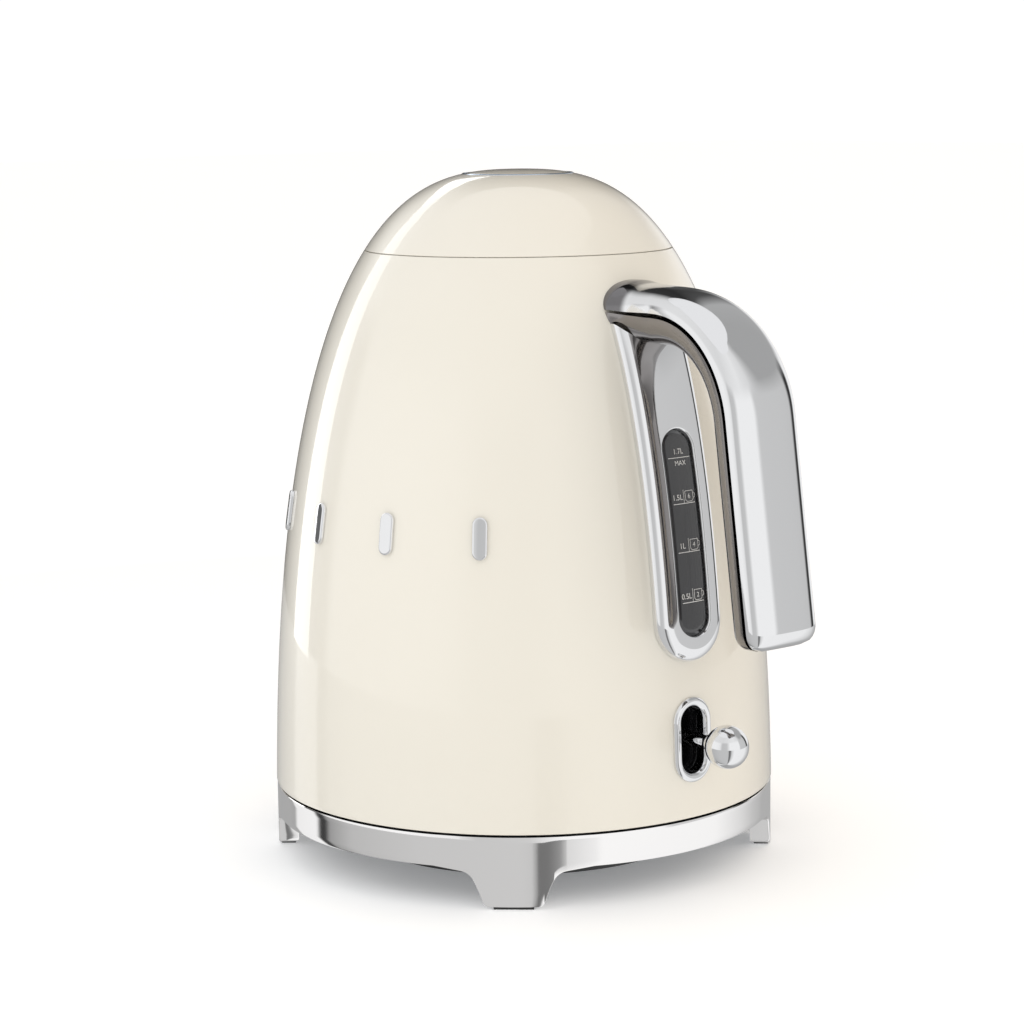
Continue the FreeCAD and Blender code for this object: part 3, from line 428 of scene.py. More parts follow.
def brushed(name, color, roughness, scale):
    """Metal brushed round the Z axis."""
    material, shader = base_material(name, color, Metallic=1.0, Roughness=roughness, Anisotropic=0.75,
                                     Anisotropic_Rotation=0.25)
    tangent = add(material, "ShaderNodeTangent", direction_type="RADIAL", axis="Z")
    join(material, tangent.outputs["Tangent"], shader.inputs["Tangent"])
    lines = object_noise(material, scale, 4.0, (1, 1, 45))
    vary(material, shader, "Roughness", lines, roughness * 0.8, roughness * 1.25)
    bump(material, shader, lines, 0.05, 0.0002)
    return material


def plastic(name, color, roughness, grain=650.0, strength=0.08, **values):
    material, shader = base_material(name, color, Roughness=roughness, **values)
    lighter = tuple(min(1.0, c * 1.12 + 0.002) for c in color)
    tint(material, shader, object_noise(material, 40.0), color, lighter)
    bump(material, shader, object_noise(material, grain, 2.0), strength, 0.0003)
    return material


def smoked():
    material, shader = base_material("smoked_plastic", (0.035, 0.036, 0.04), Roughness=0.08, IOR=1.49,
                                     Coat_Weight=1.0, Coat_Roughness=0.02, Transmission_Weight=0.25)
    tint(material, shader, object_noise(material, 18.0), (0.030, 0.031, 0.035), (0.046, 0.047, 0.052))
    return material


CREAM = enamel()
# The handle's chrome is painted darker at its root as a painted dark reflection, fading out between the two
# X values below, in metres.
CHROME_COLOR, ROOT_PAINTED_REFLECTION = (0.83, 0.835, 0.845), (0.20, 0.195, 0.20)
ROOT_PAINTED_DARK_X, ROOT_PAINTED_FADE_END_X = 0.0655, 0.0685
CHROME = polished("chrome", CHROME_COLOR, 0.035, 0.06)
GRIP_CHROME_PAINTED_ROOT = polished("grip_chrome_painted_root", CHROME_COLOR, 0.035, 0.06)
paint_dark_reflection_at_root(GRIP_CHROME_PAINTED_ROOT, ROOT_PAINTED_DARK_X, ROOT_PAINTED_FADE_END_X, ROOT_PAINTED_REFLECTION, CHROME_COLOR)
INNER_METAL = polished("inner_metal", (0.29, 0.275, 0.27), 0.10, 0.15)
SKIRT_STEEL = polished("skirt_steel", (0.93, 0.92, 0.915), 0.05, 0.08)
STEEL_SATIN = brushed("satin_steel", (0.66, 0.66, 0.66), 0.30, 9.0)
RING_BLUE = polished("ring_metal", (0.50, 0.57, 0.66), 0.10, 0.16)
BLACK = plastic("black_plastic", (0.012, 0.012, 0.013), 0.28)
DARK_GLOSS = plastic("black_gloss", (0.008, 0.008, 0.009), 0.10, 300.0, 0.02)
GREY = plastic("grey_plastic", (0.20, 0.205, 0.215), 0.48)
SMOKED = smoked()
PRINT = plastic("white_print", (0.74, 0.74, 0.73), 0.5, 900.0, 0.02)
RUBBER = plastic("rubber", (0.022, 0.022, 0.022), 0.75, 800.0, 0.25)
SILICONE = plastic("silicone", (0.52, 0.52, 0.50), 0.55, 500.0, 0.05)
ALUMINIUM = polished("cast_aluminium", (0.70, 0.71, 0.73), 0.30, 0.45)
BRASS = polished("brass", (0.83, 0.62, 0.26), 0.18, 0.30)
SLOT_MATERIAL = {"enamel": CREAM, "chrome": CHROME, "steel": STEEL_SATIN, "black_plastic": BLACK,
                 "grey_plastic": GREY, "smoked": SMOKED, "white_print": PRINT, "rubber": RUBBER,
                 "silicone": SILICONE, "aluminium": ALUMINIUM, "brass": BRASS}
for part in frame["record"]["subparts"]:
    shown = NODES[part["node"]].data
    shown.materials.clear()
    shown.materials.append(SLOT_MATERIAL[part["material_slot"]])


# ---------------------------------------------------------------------------------------------
# Body and lid
# ---------------------------------------------------------------------------------------------
def edge_arc(inner, outer, over):
    """A half-round edge between two points of a wall, bulging by over along the wall's run."""
    inner, outer = Vector(inner), Vector(outer)
    across = outer - inner
    along = Vector((-across.y, across.x)).normalized() * over
    middle, steps = (inner + outer) / 2, 5
    turns = [math.pi * k / steps for k in range(1, steps)]
    return [tuple(middle + across / 2 * math.cos(a) + along * math.sin(a)) for a in turns]


def seam_lip(outer, inner, edge_z):
    """A wall's flat end at edge_z with a small round on its outer corner."""
    r, z = outer
    turn_in, lean_in, first_angle, clear = 0.16, 0.1, 0.3, 0.02
    corner = [(r - turn_in * (1 - math.cos(a)) - lean_in * math.sin(a), z + (edge_z - z) * math.sin(a))
              for a in np.linspace(first_angle, math.pi / 2, 4)]
    return corner + [(inner[0] + clear, edge_z)]


def body_shell():
    low, high = BODY_LOW, SEAM_Z - SEAM_GAP
    outer = crown_curve(0, low + 0.4, high - 0.2, 150)
    inner = crown_curve(-STEEL, low + 0.4, high - 0.2, 150)[::-1]
    profile = [tuple(p) for p in outer]
    profile += seam_lip(outer[-1], inner[0], high)
    profile += [tuple(p) for p in inner]
    profile += edge_arc(outer[0], inner[-1], 0.35)
    points, faces = lathe(profile, 288)
    wider, narrower = 2.2, 2
    slot_half_z = SLOT_HALF_Z + wider
    slot_outline, _ = stadium(SLOT_HALF_Y + wider, SLOT_Z - slot_half_z, SLOT_Z + slot_half_z, 72)
    gauge_outline, _ = stadium(GAUGE_HALF - narrower, GAUGE_LOW + narrower, GAUGE_HIGH - narrower, 96)
    cutters = [prism_x(slot_outline, 70, 100), prism_x(gauge_outline, 55, 100), spout_hole()]
    mesh = cut_by(points, faces, cutters)
    finish_piece("body_paint", mesh, CREAM, "kettle", ("body_shell",), 35)


def lid_shell():
    low, hole = SEAM_Z + SEAM_GAP, 19.3
    outer = crown_curve(0, low + 0.2, float(crown_height(hole)), 70)
    inner = crown_curve(-STEEL, low + 0.2, float(crown_height(hole)), 70)[::-1]
    profile = [tuple(p) for p in outer] + [tuple(p) for p in inner]
    profile += seam_lip(outer[0], inner[-1], low)[::-1]
    points, faces = lathe(profile, 256)
    make("lid_dome", points, faces, CREAM, "lid", ("lid_shell",), 35)


def button_and_ring():
    rim = 18.15
    top = crown_curve(-0.02, float(crown_height(rim - 0.5)), CROWN_TOP, 24)
    edge_z = float(top[0][1])
    profile = [tuple(p) for p in top]
    profile[-1] = (0.0, profile[-1][1])
    under = [(0.0, 233.5), (16.8, 233.5), (16.8, 230.6), (17.9, 230.6), (rim, 230.9), (rim, edge_z - 0.7),
             (rim - 0.12, edge_z - 0.22)]
    points, faces = lathe(profile + under, 160)
    cap = make("button_cap", points, faces, CREAM, "button", (), 35)
    bar = rounded([(0.0, 233.4, 0), (4.0, 233.4, 0), (4.0, 208.9, 0.6), (0.0, 208.9, 0)])
    stem, stem_faces = lathe(bar, 48)
    rod = make("button_stem", stem, stem_faces, GREY, "button", (), 35)
    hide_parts("lid_button")
    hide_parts("lid_button")
    z = float(crown_height(19.2))
    ring = rounded([(18.45, z - 3.0, 0.1), (19.2, z - 3.0, 0.1), (19.2, z + 0.20, 0.3),
                    (18.45, z + 0.42, 0.3)], 4)
    points, faces = lathe(ring, 192)
    make("button_ring", points, faces, RING_BLUE, "lid", ("lid_ring",), 50)


def button_spring():
    """The spring round the button's stem, which shortens as the button goes down."""
    low, high, coil_r, wire_r, turns, travel = 206.82, 233.45, 6.4, 0.45, 6, 3.0
    steps, sides = 240, 10
    rows = []
    for i in range(steps + 1):
        a = 2 * math.pi * turns * i / steps
        middle_z = low + wire_r + (high - low - 2 * wire_r) * i / steps
        around = [2 * math.pi * k / sides for k in range(sides)]
        rings = [(coil_r + wire_r * math.cos(b), wire_r * math.sin(b)) for b in around]
        rows.append([(r * math.cos(a), r * math.sin(a), middle_z + up) for r, up in rings])
    points, faces = sleeve(np.array(rows), False)
    last = steps * sides
    faces += [tuple(range(sides)), tuple(range(last, last + sides))]
    coil = make("spring_coil", points, faces, STEEL_SATIN, "lid", ("button_spring",), 0)
    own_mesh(coil)


# ---------------------------------------------------------------------------------------------
# Spout
# ---------------------------------------------------------------------------------------------
def beak_section(x, half, top, depth, inset):
    """A rounded V across Y, from one top edge round the keel to the other."""
    t = np.linspace(-1, 1, 25)
    y = (half - inset) * np.sin(t * math.pi / 2) * (1 - 0.16 * np.cos(t * math.pi))
    y = np.clip(y / 1.16, -half, half)
    z = top - (depth - inset) * np.cos(t * math.pi / 2) ** 1.15
    return np.stack([np.full(len(t), x), y, z], -1)


# each (x, half width, height of the top edge, depth), from inside the body to the lip
BEAK = [(-42.0, 16.4, 204.4, 35.0), (-50.0, 15.2, 204.4, 33.0), (-58.0, 13.6, 204.4, 30.2),
        (-66.0, 11.2, 204.0, 25.6), (-74.0, 8.4, 203.0, 19.4), (-82.0, 5.4, 201.7, 12.2),
        (-87.0, 3.4, 200.7, 7.2), (-89.6, 2.3, 200.3, 4.4)]


def beak_walls(inset):
    stations = np.array(BEAK)
    at = np.linspace(0, 1, 61)
    run = np.linspace(0, 1, len(stations))
    smooth = np.stack([np.interp(at, run, stations[:, k]) for k in range(4)], -1)
    kernel = np.array([1, 2, 3, 2, 1]) / 9
    for k in range(1, 4):
        padded = np.pad(smooth[:, k], 2, mode="reflect", reflect_type="odd")
        smooth[:, k] = np.convolve(padded, kernel, "valid")
    return np.stack([beak_section(x, half, top, depth, inset) for x, half, top, depth in smooth])


def spout_hole():
    outline = beak_section(0, 10.5, 202.6, 15.5, 0)[:, 1:]
    closed = [tuple(p) for p in outline]
    return prism_x(closed[::-1], -75, -45)


def seated(wall, lift):
    """The wall with each lengthwise line restarted where it leaves the body."""
    rows, count = wall.shape[:2]
    steps = np.arange(rows)
    out = np.empty_like(wall)
    for k in range(count):
        line = wall[:, k]
        gap = -line[:, 0] - np.sqrt(np.maximum(crown_radius(line[:, 2]) ** 2 - line[:, 1] ** 2, 0)) - lift
        first = int(np.argmax(gap > 0))
        start = first - 1 + gap[first - 1] / (gap[first - 1] - gap[first]) if first else 0.0
        at = np.linspace(start, rows - 1, rows)
        out[:, k] = np.stack([np.interp(at, steps, line[:, c]) for c in range(3)], -1)
    return out


def spout():
    outer, inner = beak_walls(0.0), beak_walls(1.0)
    inner[:, :, 2] = np.minimum(inner[:, :, 2], outer[:, :1, 2])
    outer, inner = seated(outer, 0.03), seated(inner, 0.03)
    rows, count = len(outer), outer.shape[1]
    ring = np.concatenate([outer, inner[:, ::-1]], 1)
    points, faces = ring.reshape(-1, 3), grid_faces(rows, 2 * count, False, True)
    for k in range(count - 1):
        for base, flip in ((0, False), ((rows - 1) * 2 * count, True)):
            quad = (base + k, base + k + 1, base + 2 * count - 2 - k, base + 2 * count - 1 - k)
            faces.append(quad[::-1] if flip else quad)
    make("spout_beak", points, faces, CHROME, "kettle", ("spout",), 50)


# ---------------------------------------------------------------------------------------------
# Handle
# ---------------------------------------------------------------------------------------------
GRIP_Z, BEND_X, BEND_R, END_X, END_Z = 191.4, 81.2, 35.3, 126.3, 88.2
GRIP_HALF_Y, GRIP_GROW_Y, GRIP_OUT, GRIP_IN = 12.4, 2.1, 6.7, 10.2
FLANGE_RISE, FLANGE_DROP = 2.6, 11.6
SKIN_X, FLARE_RUN, RISE_RUN, ROUND_RUN, TIP_RUN = 61.5, 9.5, 46, 16, 6.0
GROW_START, GROW_RUN = 18, 34


def grip_line(count):
    """Evenly spaced centre points and directions of the handle, from inside the body to its free end."""
    centre = np.array([BEND_X, GRIP_Z - BEND_R])
    end = np.array([END_X, END_Z])
    reach = end - centre
    lean = math.atan2(reach[1], reach[0]) + math.acos(BEND_R / np.linalg.norm(reach))
    touch = centre + BEND_R * np.array([math.cos(lean), math.sin(lean)])
    angles = np.linspace(math.pi / 2, lean, 200)
    arc = centre + BEND_R * np.stack([np.cos(angles), np.sin(angles)], -1)
    level = np.stack([np.linspace(56, BEND_X, 120), np.full(120, GRIP_Z)], -1)
    leg = touch + (end - touch) * np.linspace(0, 1, 300)[:, None]
    line = np.concatenate([level[:-1], arc, leg[1:]])
    for _ in range(120):
        line[1:-1] = line[1:-1] * 0.5 + (line[:-2] + line[2:]) * 0.25
    places, at = resample(line, count)
    return places, unit(np.gradient(places, axis=0)), at


def superellipse(half_y, half_t, power, count):
    a = np.linspace(0, 2 * math.pi, count, endpoint=False) + math.pi / count
    c, s = np.cos(a), np.sin(a)
    return (half_y * np.sign(c) * np.abs(c) ** (2 / power), half_t * np.sign(s) * np.abs(s) ** (2 / power))


def handle():
    count = 96
    places, direction, at = grip_line(150)
    rows = []
    for place, way, s in zip(places, direction, at):
        from_skin = place[0] - SKIN_X
        flare = clamp(1 - from_skin / FLARE_RUN) ** 2.3
        shut = 1 - math.sqrt(1 - clamp((TIP_RUN - (at[-1] - s)) / TIP_RUN) ** 2)
        grown = GRIP_GROW_Y * clamp((from_skin - GROW_START) / GROW_RUN)
        half_y = GRIP_HALF_Y + grown + (FLANGE_HALF_Y - GRIP_HALF_Y) * flare - 5.2 * shut
        half_out = GRIP_OUT + FLANGE_RISE * clamp(1 - from_skin / RISE_RUN) ** 0.9 - 4.6 * shut
        half_in = GRIP_IN + (FLANGE_DROP - GRIP_IN) * flare - 4.8 * shut
        power = 2.7 - 0.6 * clamp(1 - from_skin / ROUND_RUN)
        y, t = superellipse(half_y, 1.0, power, count)
        t = np.where(t > 0, half_out * t, half_in * t)
        up = np.array([-way[1], way[0]])
        x = place[0] + up[0] * t
        z = place[1] + up[1] * t + (FLANGE_Z - GRIP_Z) * flare
        rows.append(np.stack([x, y, z], -1))
    rows = np.array(rows)
    skin = np.sqrt(np.maximum(crown_radius(rows[..., 2]) ** 2 - rows[..., 1] ** 2, 0))
    near = rows[..., 0] < skin + 0.1
    rows[..., 0] = np.where(near, skin + 0.06, rows[..., 0])
    # the bright half carries the painted dark reflection at its root
    half_shell("handle_bright", rows, range(0, count // 2), GRIP_CHROME_PAINTED_ROOT, "handle_grip")
    half_shell("handle_inner", rows, range(count // 2, count), INNER_METAL, "handle_inner_cover")


def half_shell(name, rows, columns, material, node):
    """One side of the handle as a closed piece, its flat side inside along the handle's middle."""
    part = rows[:, list(columns)]
    length, count = part.shape[:2]
    points = part.reshape(-1, 3)
    faces = grid_faces(length, count, False, True)
    ends = [part[0].mean(0), part[-1].mean(0)]
    first, last = len(points), (length - 1) * count
    points = np.concatenate([points, ends])
    faces += [((k + 1) % count, k, first) for k in range(count)]
    faces += [(last + k, last + (k + 1) % count, first + 1) for k in range(count)]
    make(name, points, faces, material, "kettle", (node,), 60)


# ---------------------------------------------------------------------------------------------
# Gauge surround, window and print
# ---------------------------------------------------------------------------------------------
def flange_edge(y):
    """Height of the handle root's lower edge at y."""
    share = np.clip(1 - (np.asarray(y, float) / (FLANGE_HALF_Y + 0.3)) ** 2, 0, 1)
    return FLANGE_Z - (FLANGE_DROP + 0.3) * np.sqrt(share)


def strip_outline(inward, count_side, count_round):
    """The surround's open outline, from its top left down round the tip to its top right."""
    half = STRIP_HALF - inward
    low = STRIP_LOW + STRIP_HALF
    top = float(flange_edge(half)) - 0.05
    left = [(-half, z) for z in np.linspace(top, low, count_side)]
    angles = np.linspace(math.pi, 2 * math.pi, count_round)
    turn = [(half * math.cos(a), low + half * math.sin(a)) for a in angles]
    right = [(half, z) for z in np.linspace(low, top, count_side)]
    return np.array(left + turn[1:-1] + right)


def gauge_surround():
    side, turn, shoulder = 90, 64, 12
    outline = strip_outline(0, side, turn)
    run = 4.6
    rows = [on_crown(outline[:, 0], outline[:, 1], 0.06)]
    for k in range(shoulder + 1):
        t = k / shoulder
        angle = t * math.pi / 2
        inward = run * (1 - math.cos(angle))
        curve = strip_outline(inward, side, turn)
        offset = 0.25 + (STRIP_PROUD - 0.25) * math.sin(angle) ** 0.85
        rows.append(on_crown(curve[:, 0], curve[:, 1], offset))
    edge = strip_outline(run, side, turn)
    count = len(edge)
    # the frame round the window: rings between the shoulder and the window's edge
    frame_top = GAUGE_HIGH + 7.0
    points = np.concatenate(rows)
    faces = grid_faces(len(rows), count)
    inner_edge = (len(rows) - 1) * count
    use = [i for i in range(count) if edge[i, 1] <= frame_top]
    first, last = use[0], use[-1]
    across = 30
    (left_y, level_z), (right_y, _) = edge[first], edge[last]
    closing = [(right_y + (left_y - right_y) * k / across, level_z) for k in range(1, across)]
    loop_outer = np.array([tuple(edge[i]) for i in use] + closing)
    loop_inner = nearest_spine(loop_outer) + from_spine(loop_outer) * GAUGE_HALF
    start = len(points)
    rings = 7
    loops = [[inner_edge + i for i in use] + list(range(start, start + across - 1))]
    extra = [on_crown(loop_outer[len(use):, 0], loop_outer[len(use):, 1], STRIP_PROUD)]
    start += across - 1
    size = len(loop_outer)
    for k in range(1, rings + 1):
        t = k / rings
        loop = loop_outer * (1 - t) + loop_inner * t
        extra.append(on_crown(loop[:, 0], loop[:, 1], STRIP_PROUD))
        loops.append(list(range(start, start + size)))
        start += size
    for drop, inset in ((0.12, 0.10), (0.42, 0.28), (0.9, 0.34), (2.6, 0.34)):
        loop = loop_inner - from_spine(loop_inner) * inset
        extra.append(on_crown(loop[:, 0], loop[:, 1], STRIP_PROUD - drop))
        loops.append(list(range(start, start + size)))
        start += size
    for a, b in zip(loops[:-1], loops[1:]):
        faces += [(a[k], a[(k + 1) % size], b[(k + 1) % size], b[k]) for k in range(size)]
    # the plain part above the window, up to the handle's root
    row = [(len(use) - 1 + k) % size for k in range(across + 1)]
    previous = [loops[0][k] for k in row]
    middle_y = loop_outer[row[1:-1], 0]
    rise = flange_edge(middle_y) - 0.05 - level_z
    side_left = [inner_edge + i for i in range(first, -1, -1)]
    side_right = [inner_edge + i for i in range(last, count)]
    levels = len(side_left)
    for level in range(1, levels):
        current = [side_right[level]]
        z = level_z + rise * (level / (levels - 1))
        extra.append(on_crown(middle_y, z, STRIP_PROUD))
        current += list(range(start, start + len(middle_y)))
        start += len(middle_y)
        current.append(side_left[level])
        faces += [(previous[k], previous[k + 1], current[k + 1], current[k]) for k in range(across)]
        previous = current
    points = np.concatenate([points] + extra)
    make("gauge_trim", points, faces, CHROME, "kettle", ("gauge_surround",), 60)


def nearest_spine(points):
    """The nearest point of the window's centre line to each point of its edge."""
    z = np.clip(points[:, 1], GAUGE_LOW + GAUGE_HALF, GAUGE_HIGH - GAUGE_HALF)
    return np.stack([np.zeros(len(points)), z], -1)


def from_spine(points):
    """Directions from the window's centre line to points round it."""
    return unit(points - nearest_spine(points))


def window_pane():
    """Smoked pane with a bevelled rim, crowned a little along the middle."""
    count = 180
    rows = []
    outline, _ = stadium(GAUGE_HALF, GAUGE_LOW, GAUGE_HIGH, count)
    for inset, offset in ((0.36, 1.2), (0.36, 2.35), (0.5, 2.5), (0.75, 2.56), (1.25, 2.72), (1.5, 2.92),
                          (1.8, 2.98), (3.0, 3.02), (4.4, 3.05), (5.6, 3.06), (6.55, 3.07)):
        loop = outline - from_spine(outline) * inset
        rows.append(on_crown(loop[:, 0], loop[:, 1], offset))
    points = np.concatenate(rows)
    faces = grid_faces(len(rows), count, False, True)
    last = (len(rows) - 1) * count
    far = last + count - 1
    faces += [(last + k, last + k + 1, far - 1 - k, far - k) for k in range(count // 2 - 1)]
    make("window_pane", points, faces, SMOKED, "kettle", ("gauge_window",), 60)


def flat_text(body, size, y, z):
    """Vertices and faces of a word laid flat in the YZ plane, its middle at y, z."""
    curve = bpy.data.curves.new("word", "FONT")
    curve.body, curve.size, curve.align_x, curve.align_y = body, size, "CENTER", "CENTER"
    curve.resolution_u = 4
    holder = new_object("word", curve)
    bpy.context.view_layer.update()
    mesh = bpy.data.meshes.new_from_object(holder.evaluated_get(bpy.context.evaluated_depsgraph_get()))
    points = [(v.co.x + y, v.co.y + z) for v in mesh.vertices]
    faces = [tuple(p.vertices) for p in mesh.polygons]
    bpy.data.objects.remove(holder)
    return points, faces


def stroke(start, end, width):
    """A thin straight line in the YZ plane, divided so that it follows the pane."""
    a, b = Vector(start), Vector(end)
    across = Vector((-(b - a).y, (b - a).x)).normalized() * width / 2
    steps = max(1, int((b - a).length / 0.8))
    points, faces = [], []
    for k in range(steps + 1):
        here = a + (b - a) * (k / steps)
        points += [tuple(here + across), tuple(here - across)]
    faces = [(2 * k, 2 * k + 1, 2 * k + 3, 2 * k + 2) for k in range(steps)]
    return points, faces


SCALE = ((97.0, "0.5L", "2"), (113.3, "1L", "4"), (128.9, "1.5L", "6"), (143.6, "1.7L", ""))


def gauge_print():
    parts = []
    for z, litres, cups in SCALE:
        parts.append(stroke((-3.9, z), (5.3, z), 0.22))
        if cups:
            parts.append(flat_text(litres, 2.5, -2.0, z + 2.0))
            parts.append(flat_text(cups, 2.2, 2.9, z + 2.1))
            parts.append(stroke((0.6, z), (0.6, z + 4.4), 0.16))
            cup = [(1.3, 3.9), (1.3, 1.1), (1.9, 0.5), (4.0, 0.5), (4.6, 1.1), (4.6, 3.9), (1.3, 3.9)]
            grip = [(4.6, 3.3), (5.4, 3.0), (5.4, 1.8), (4.6, 1.5)]
            for line in (cup, grip):
                parts += [stroke((a, z + b), (c, z + d), 0.16) for (a, b), (c, d) in zip(line, line[1:])]
        else:
            parts.append(flat_text(litres, 2.5, 0.6, z + 1.9))
            parts.append(flat_text("MAX", 2.2, 0.9, z - 1.8))
    points, faces = [], []
    for part_points, part_faces in parts:
        base = len(points)
        points += part_points
        faces += [tuple(i + base for i in f) for f in part_faces]
    flat = np.array(points)
    points = on_crown(flat[:, 0], flat[:, 1], 3.11)
    make("gauge_print", points, faces, PRINT, "kettle", ("gauge_marks",), 0)


# ---------------------------------------------------------------------------------------------
# Switch: trim, recess, lever and ball
# ---------------------------------------------------------------------------------------------
def slot_ring(sections):
    """A ring round the slot; an entry is (distance out from the opening's edge, offset from the skin)."""
    outline, normal = stadium(SLOT_HALF_Y, SLOT_Z - SLOT_HALF_Z, SLOT_Z + SLOT_HALF_Z, 120)
    columns = []
    for out, offset in sections:
        loop = outline + normal * out
        columns.append(on_crown(loop[:, 0], loop[:, 1], offset))
    return np.stack(columns, 1)


def switch_trim():
    section = rounded([(0.0, -2.6, 0), (0.0, 0.35, 0.5), (0.75, 1.25, 0.9), (2.1, 1.62, 0.9),
                       (3.1, 0.75, 0.5), (3.1, 0.06, 0), (0.8, 0.06, 0), (0.8, -2.6, 0)], 6)
    points, faces = sleeve(slot_ring(section))
    make("switch_trim", points, faces, CHROME, "kettle", ("switch_bezel",), 50)


def switch_recess():
    """Black cup behind the slot: side wall, inner lip and a back with the lever's slit."""
    half_z = SLOT_HALF_Z + 0.2
    rim, normal = stadium(SLOT_HALF_Y + 0.2, SLOT_Z - half_z, SLOT_Z + half_z, 120)
    slit_half, slit_low, slit_high = 3.3, 43.2, 60.2
    spine_z = np.clip(rim[:, 1], slit_low + slit_half, slit_high - slit_half)
    spine = np.stack([np.zeros(len(rim)), spine_z], -1)
    slit = spine + unit(rim - spine) * slit_half
    outer, inner = rim + normal * 1.5, rim - normal * 0.9
    levels = ((outer, 73.0), (outer, 82.9), (rim + normal * 0.2, 82.9), (rim, 82.6), (rim, 81.2),
              (rim - normal * 0.7, 81.0), (inner, 80.6), (inner, 78.4), (rim * 0.5 + slit * 0.5, 77.6),
              (rim * 0.45 + slit * 0.55, 76.0), (rim * 0.2 + slit * 0.8, 74.6), (slit, 74.5), (slit, 73.0))
    rows = np.stack([np.stack([np.full(len(rim), x), *loop.T], -1) for loop, x in levels], 1)
    points, faces = sleeve(rows)
    make("switch_well", points, faces, DARK_GLOSS, "kettle", ("switch_recess",), 40)


def lever_and_ball():
    lever_z, knob_x, knob_r = 51.7, 102.7, 7.2
    rod = rounded([(0.0, 60.5, 0), (1.9, 60.5, 0.3), (1.9, 70.0, 0), (2.7, 70.6, 0.3), (2.7, 80.0, 0.4),
                   (2.45, 81.0, 0.3), (2.35, 93.6, 0.6), (3.0, 94.8, 0.4), (3.0, 96.8, 0.1),
                   (0.0, 96.8, 0)])
    points, faces = lathe(rod, 64)
    points = turned_to_x(points, 0, lever_z)
    make("lever_rod", points, faces, CHROME, "lever", ("lever_stem",), 45)
    start = math.asin(3.1 / knob_r)
    angles = np.linspace(math.pi - start, 0, 70)
    ball = [(knob_r * math.sin(a), knob_r * math.cos(a)) for a in angles]
    ball[-1] = (0.0, knob_r)
    collar = [(0.0, ball[0][1] + 1.4), (3.0, ball[0][1] + 1.4), (3.1, ball[0][1] + 0.2)]
    points, faces = lathe(collar + ball, 128)
    points = turned_to_x(points, knob_x, lever_z)
    make("lever_ball", points, faces, CHROME, "lever", ("lever_knob",), 50)


# ---------------------------------------------------------------------------------------------
# Base skirt
# ---------------------------------------------------------------------------------------------
SKIRT_R, SKIRT_LOW, SKIRT_TOP, FOOT_TURN = 87.0, 13.65, 24.4, 47.5


def foot_outline():
    """Half a foot's edge as (distance from its middle, height), from the middle of its sole outwards."""
    sole, half = 0.8, 9.7
    points = [(k * (half - 2.0) / 6, sole) for k in range(6)]
    flare = [(11.6, 6.4, 3.4), (14.6, 12.2, 6.0), (27.0, SKIRT_LOW, 0)]
    corner = rounded([(0, sole, 0), (half, sole, 1.9)] + flare, 12)
    points += [p for p in corner[1:] if p[0] > half - 2.0]
    return points


def skirt():
    half = foot_outline()
    quarter = math.pi / 2 * SKIRT_R
    between = np.linspace(half[-1][0], quarter - half[-1][0], 26)[1:-1]
    one = half + [(w, SKIRT_LOW) for w in between] + [(quarter - w, z) for w, z in half[::-1][:-1]]
    starts = [math.radians(FOOT_TURN) + foot * math.pi / 2 for foot in range(4)]
    columns = [(start + w / SKIRT_R, z) for start in starts for w, z in one]
    rows = []
    for angle, low in columns:
        wall = np.linspace(low + 0.55, SKIRT_TOP - 0.5, 7)
        ring = [(SKIRT_R - 0.55, low), (SKIRT_R - 0.16, low + 0.16)] + [(SKIRT_R, z) for z in wall]
        ring += [(SKIRT_R - 0.14, SKIRT_TOP - 0.14), (SKIRT_R - 0.5, SKIRT_TOP), (84.8, SKIRT_TOP),
                 (84.8, 15.7), (75.5, 15.7), (75.5, SKIRT_LOW + 0.25), (80.0, SKIRT_LOW + 0.25),
                 (80.0, low + 0.3), (80.3, low)]
        rows.append([(r * math.cos(angle), r * math.sin(angle), z) for r, z in ring])
    points, faces = sleeve(np.array(rows))
    make("skirt_metal", points, faces, SKIRT_STEEL, "base", ("base_skirt",), 38)


# ---------------------------------------------------------------------------------------------
# Raised studs on the side
# ---------------------------------------------------------------------------------------------
def side_studs():
    points, faces = [], []
    count, middle_z, half_height = 56, 121.1, 6.9
    outline, normal = stadium(2.5, middle_z - half_height, middle_z + half_height, count)
    for angle in (-49.5, -72.9, -96.2, -119.6):
        loops = []
        for inset, offset in ((0.0, 0.06), (0.0, 0.85), (0.12, 1.1), (0.36, 1.26), (0.75, 1.30),
                              (2.2, 1.30)):
            loop = outline - normal * inset
            loops.append(on_crown(loop[:, 0], loop[:, 1], offset))
        turn = np.array(Matrix.Rotation(math.radians(angle), 3, "Z"))
        base = len(points)
        points += list(np.concatenate(loops) @ turn.T)
        faces += [tuple(i + base for i in f) for f in grid_faces(len(loops), count, False, True)]
        last = base + (len(loops) - 1) * count
        faces.append(tuple(range(last, last + count)))
        faces.append(tuple(range(base + count - 1, base - 1, -1)))
    make("bright_studs", points, faces, CHROME, "kettle", ("side_studs",), 50)


body_shell()
lid_shell()
button_and_ring()
button_spring()
spout()
handle()
gauge_surround()
window_pane()
gauge_print()
switch_trim()
switch_recess()
lever_and_ball()
skirt()
side_studs()


# ---------------------------------------------------------------------------------------------
# Floor, light and camera
# ---------------------------------------------------------------------------------------------
def staged(name, points, faces, material):
    """A mesh of the studio, in metres, that isn't part of the object."""
    mesh = bpy.data.meshes.new(name)
    mesh.from_pydata(points, [], faces)
    mesh.materials.append(material)
    piece = new_object(name, mesh)
    return piece


def floor():
    size = 8.0
    material, shader = base_material("floor_white", (0.95, 0.95, 0.95), Roughness=0.6,
                                     Emission_Color=(0.95, 0.975, 1.0), Emission_Strength=0.21)
    bump(material, shader, object_noise(material, 60.0), 0.01, 0.0005)
    corners = [(-size, -size, 0), (size, -size, 0), (size, size, 0), (-size, size, 0)]
    staged("floor", corners, [(0, 1, 2, 3)], material).visible_glossy = False


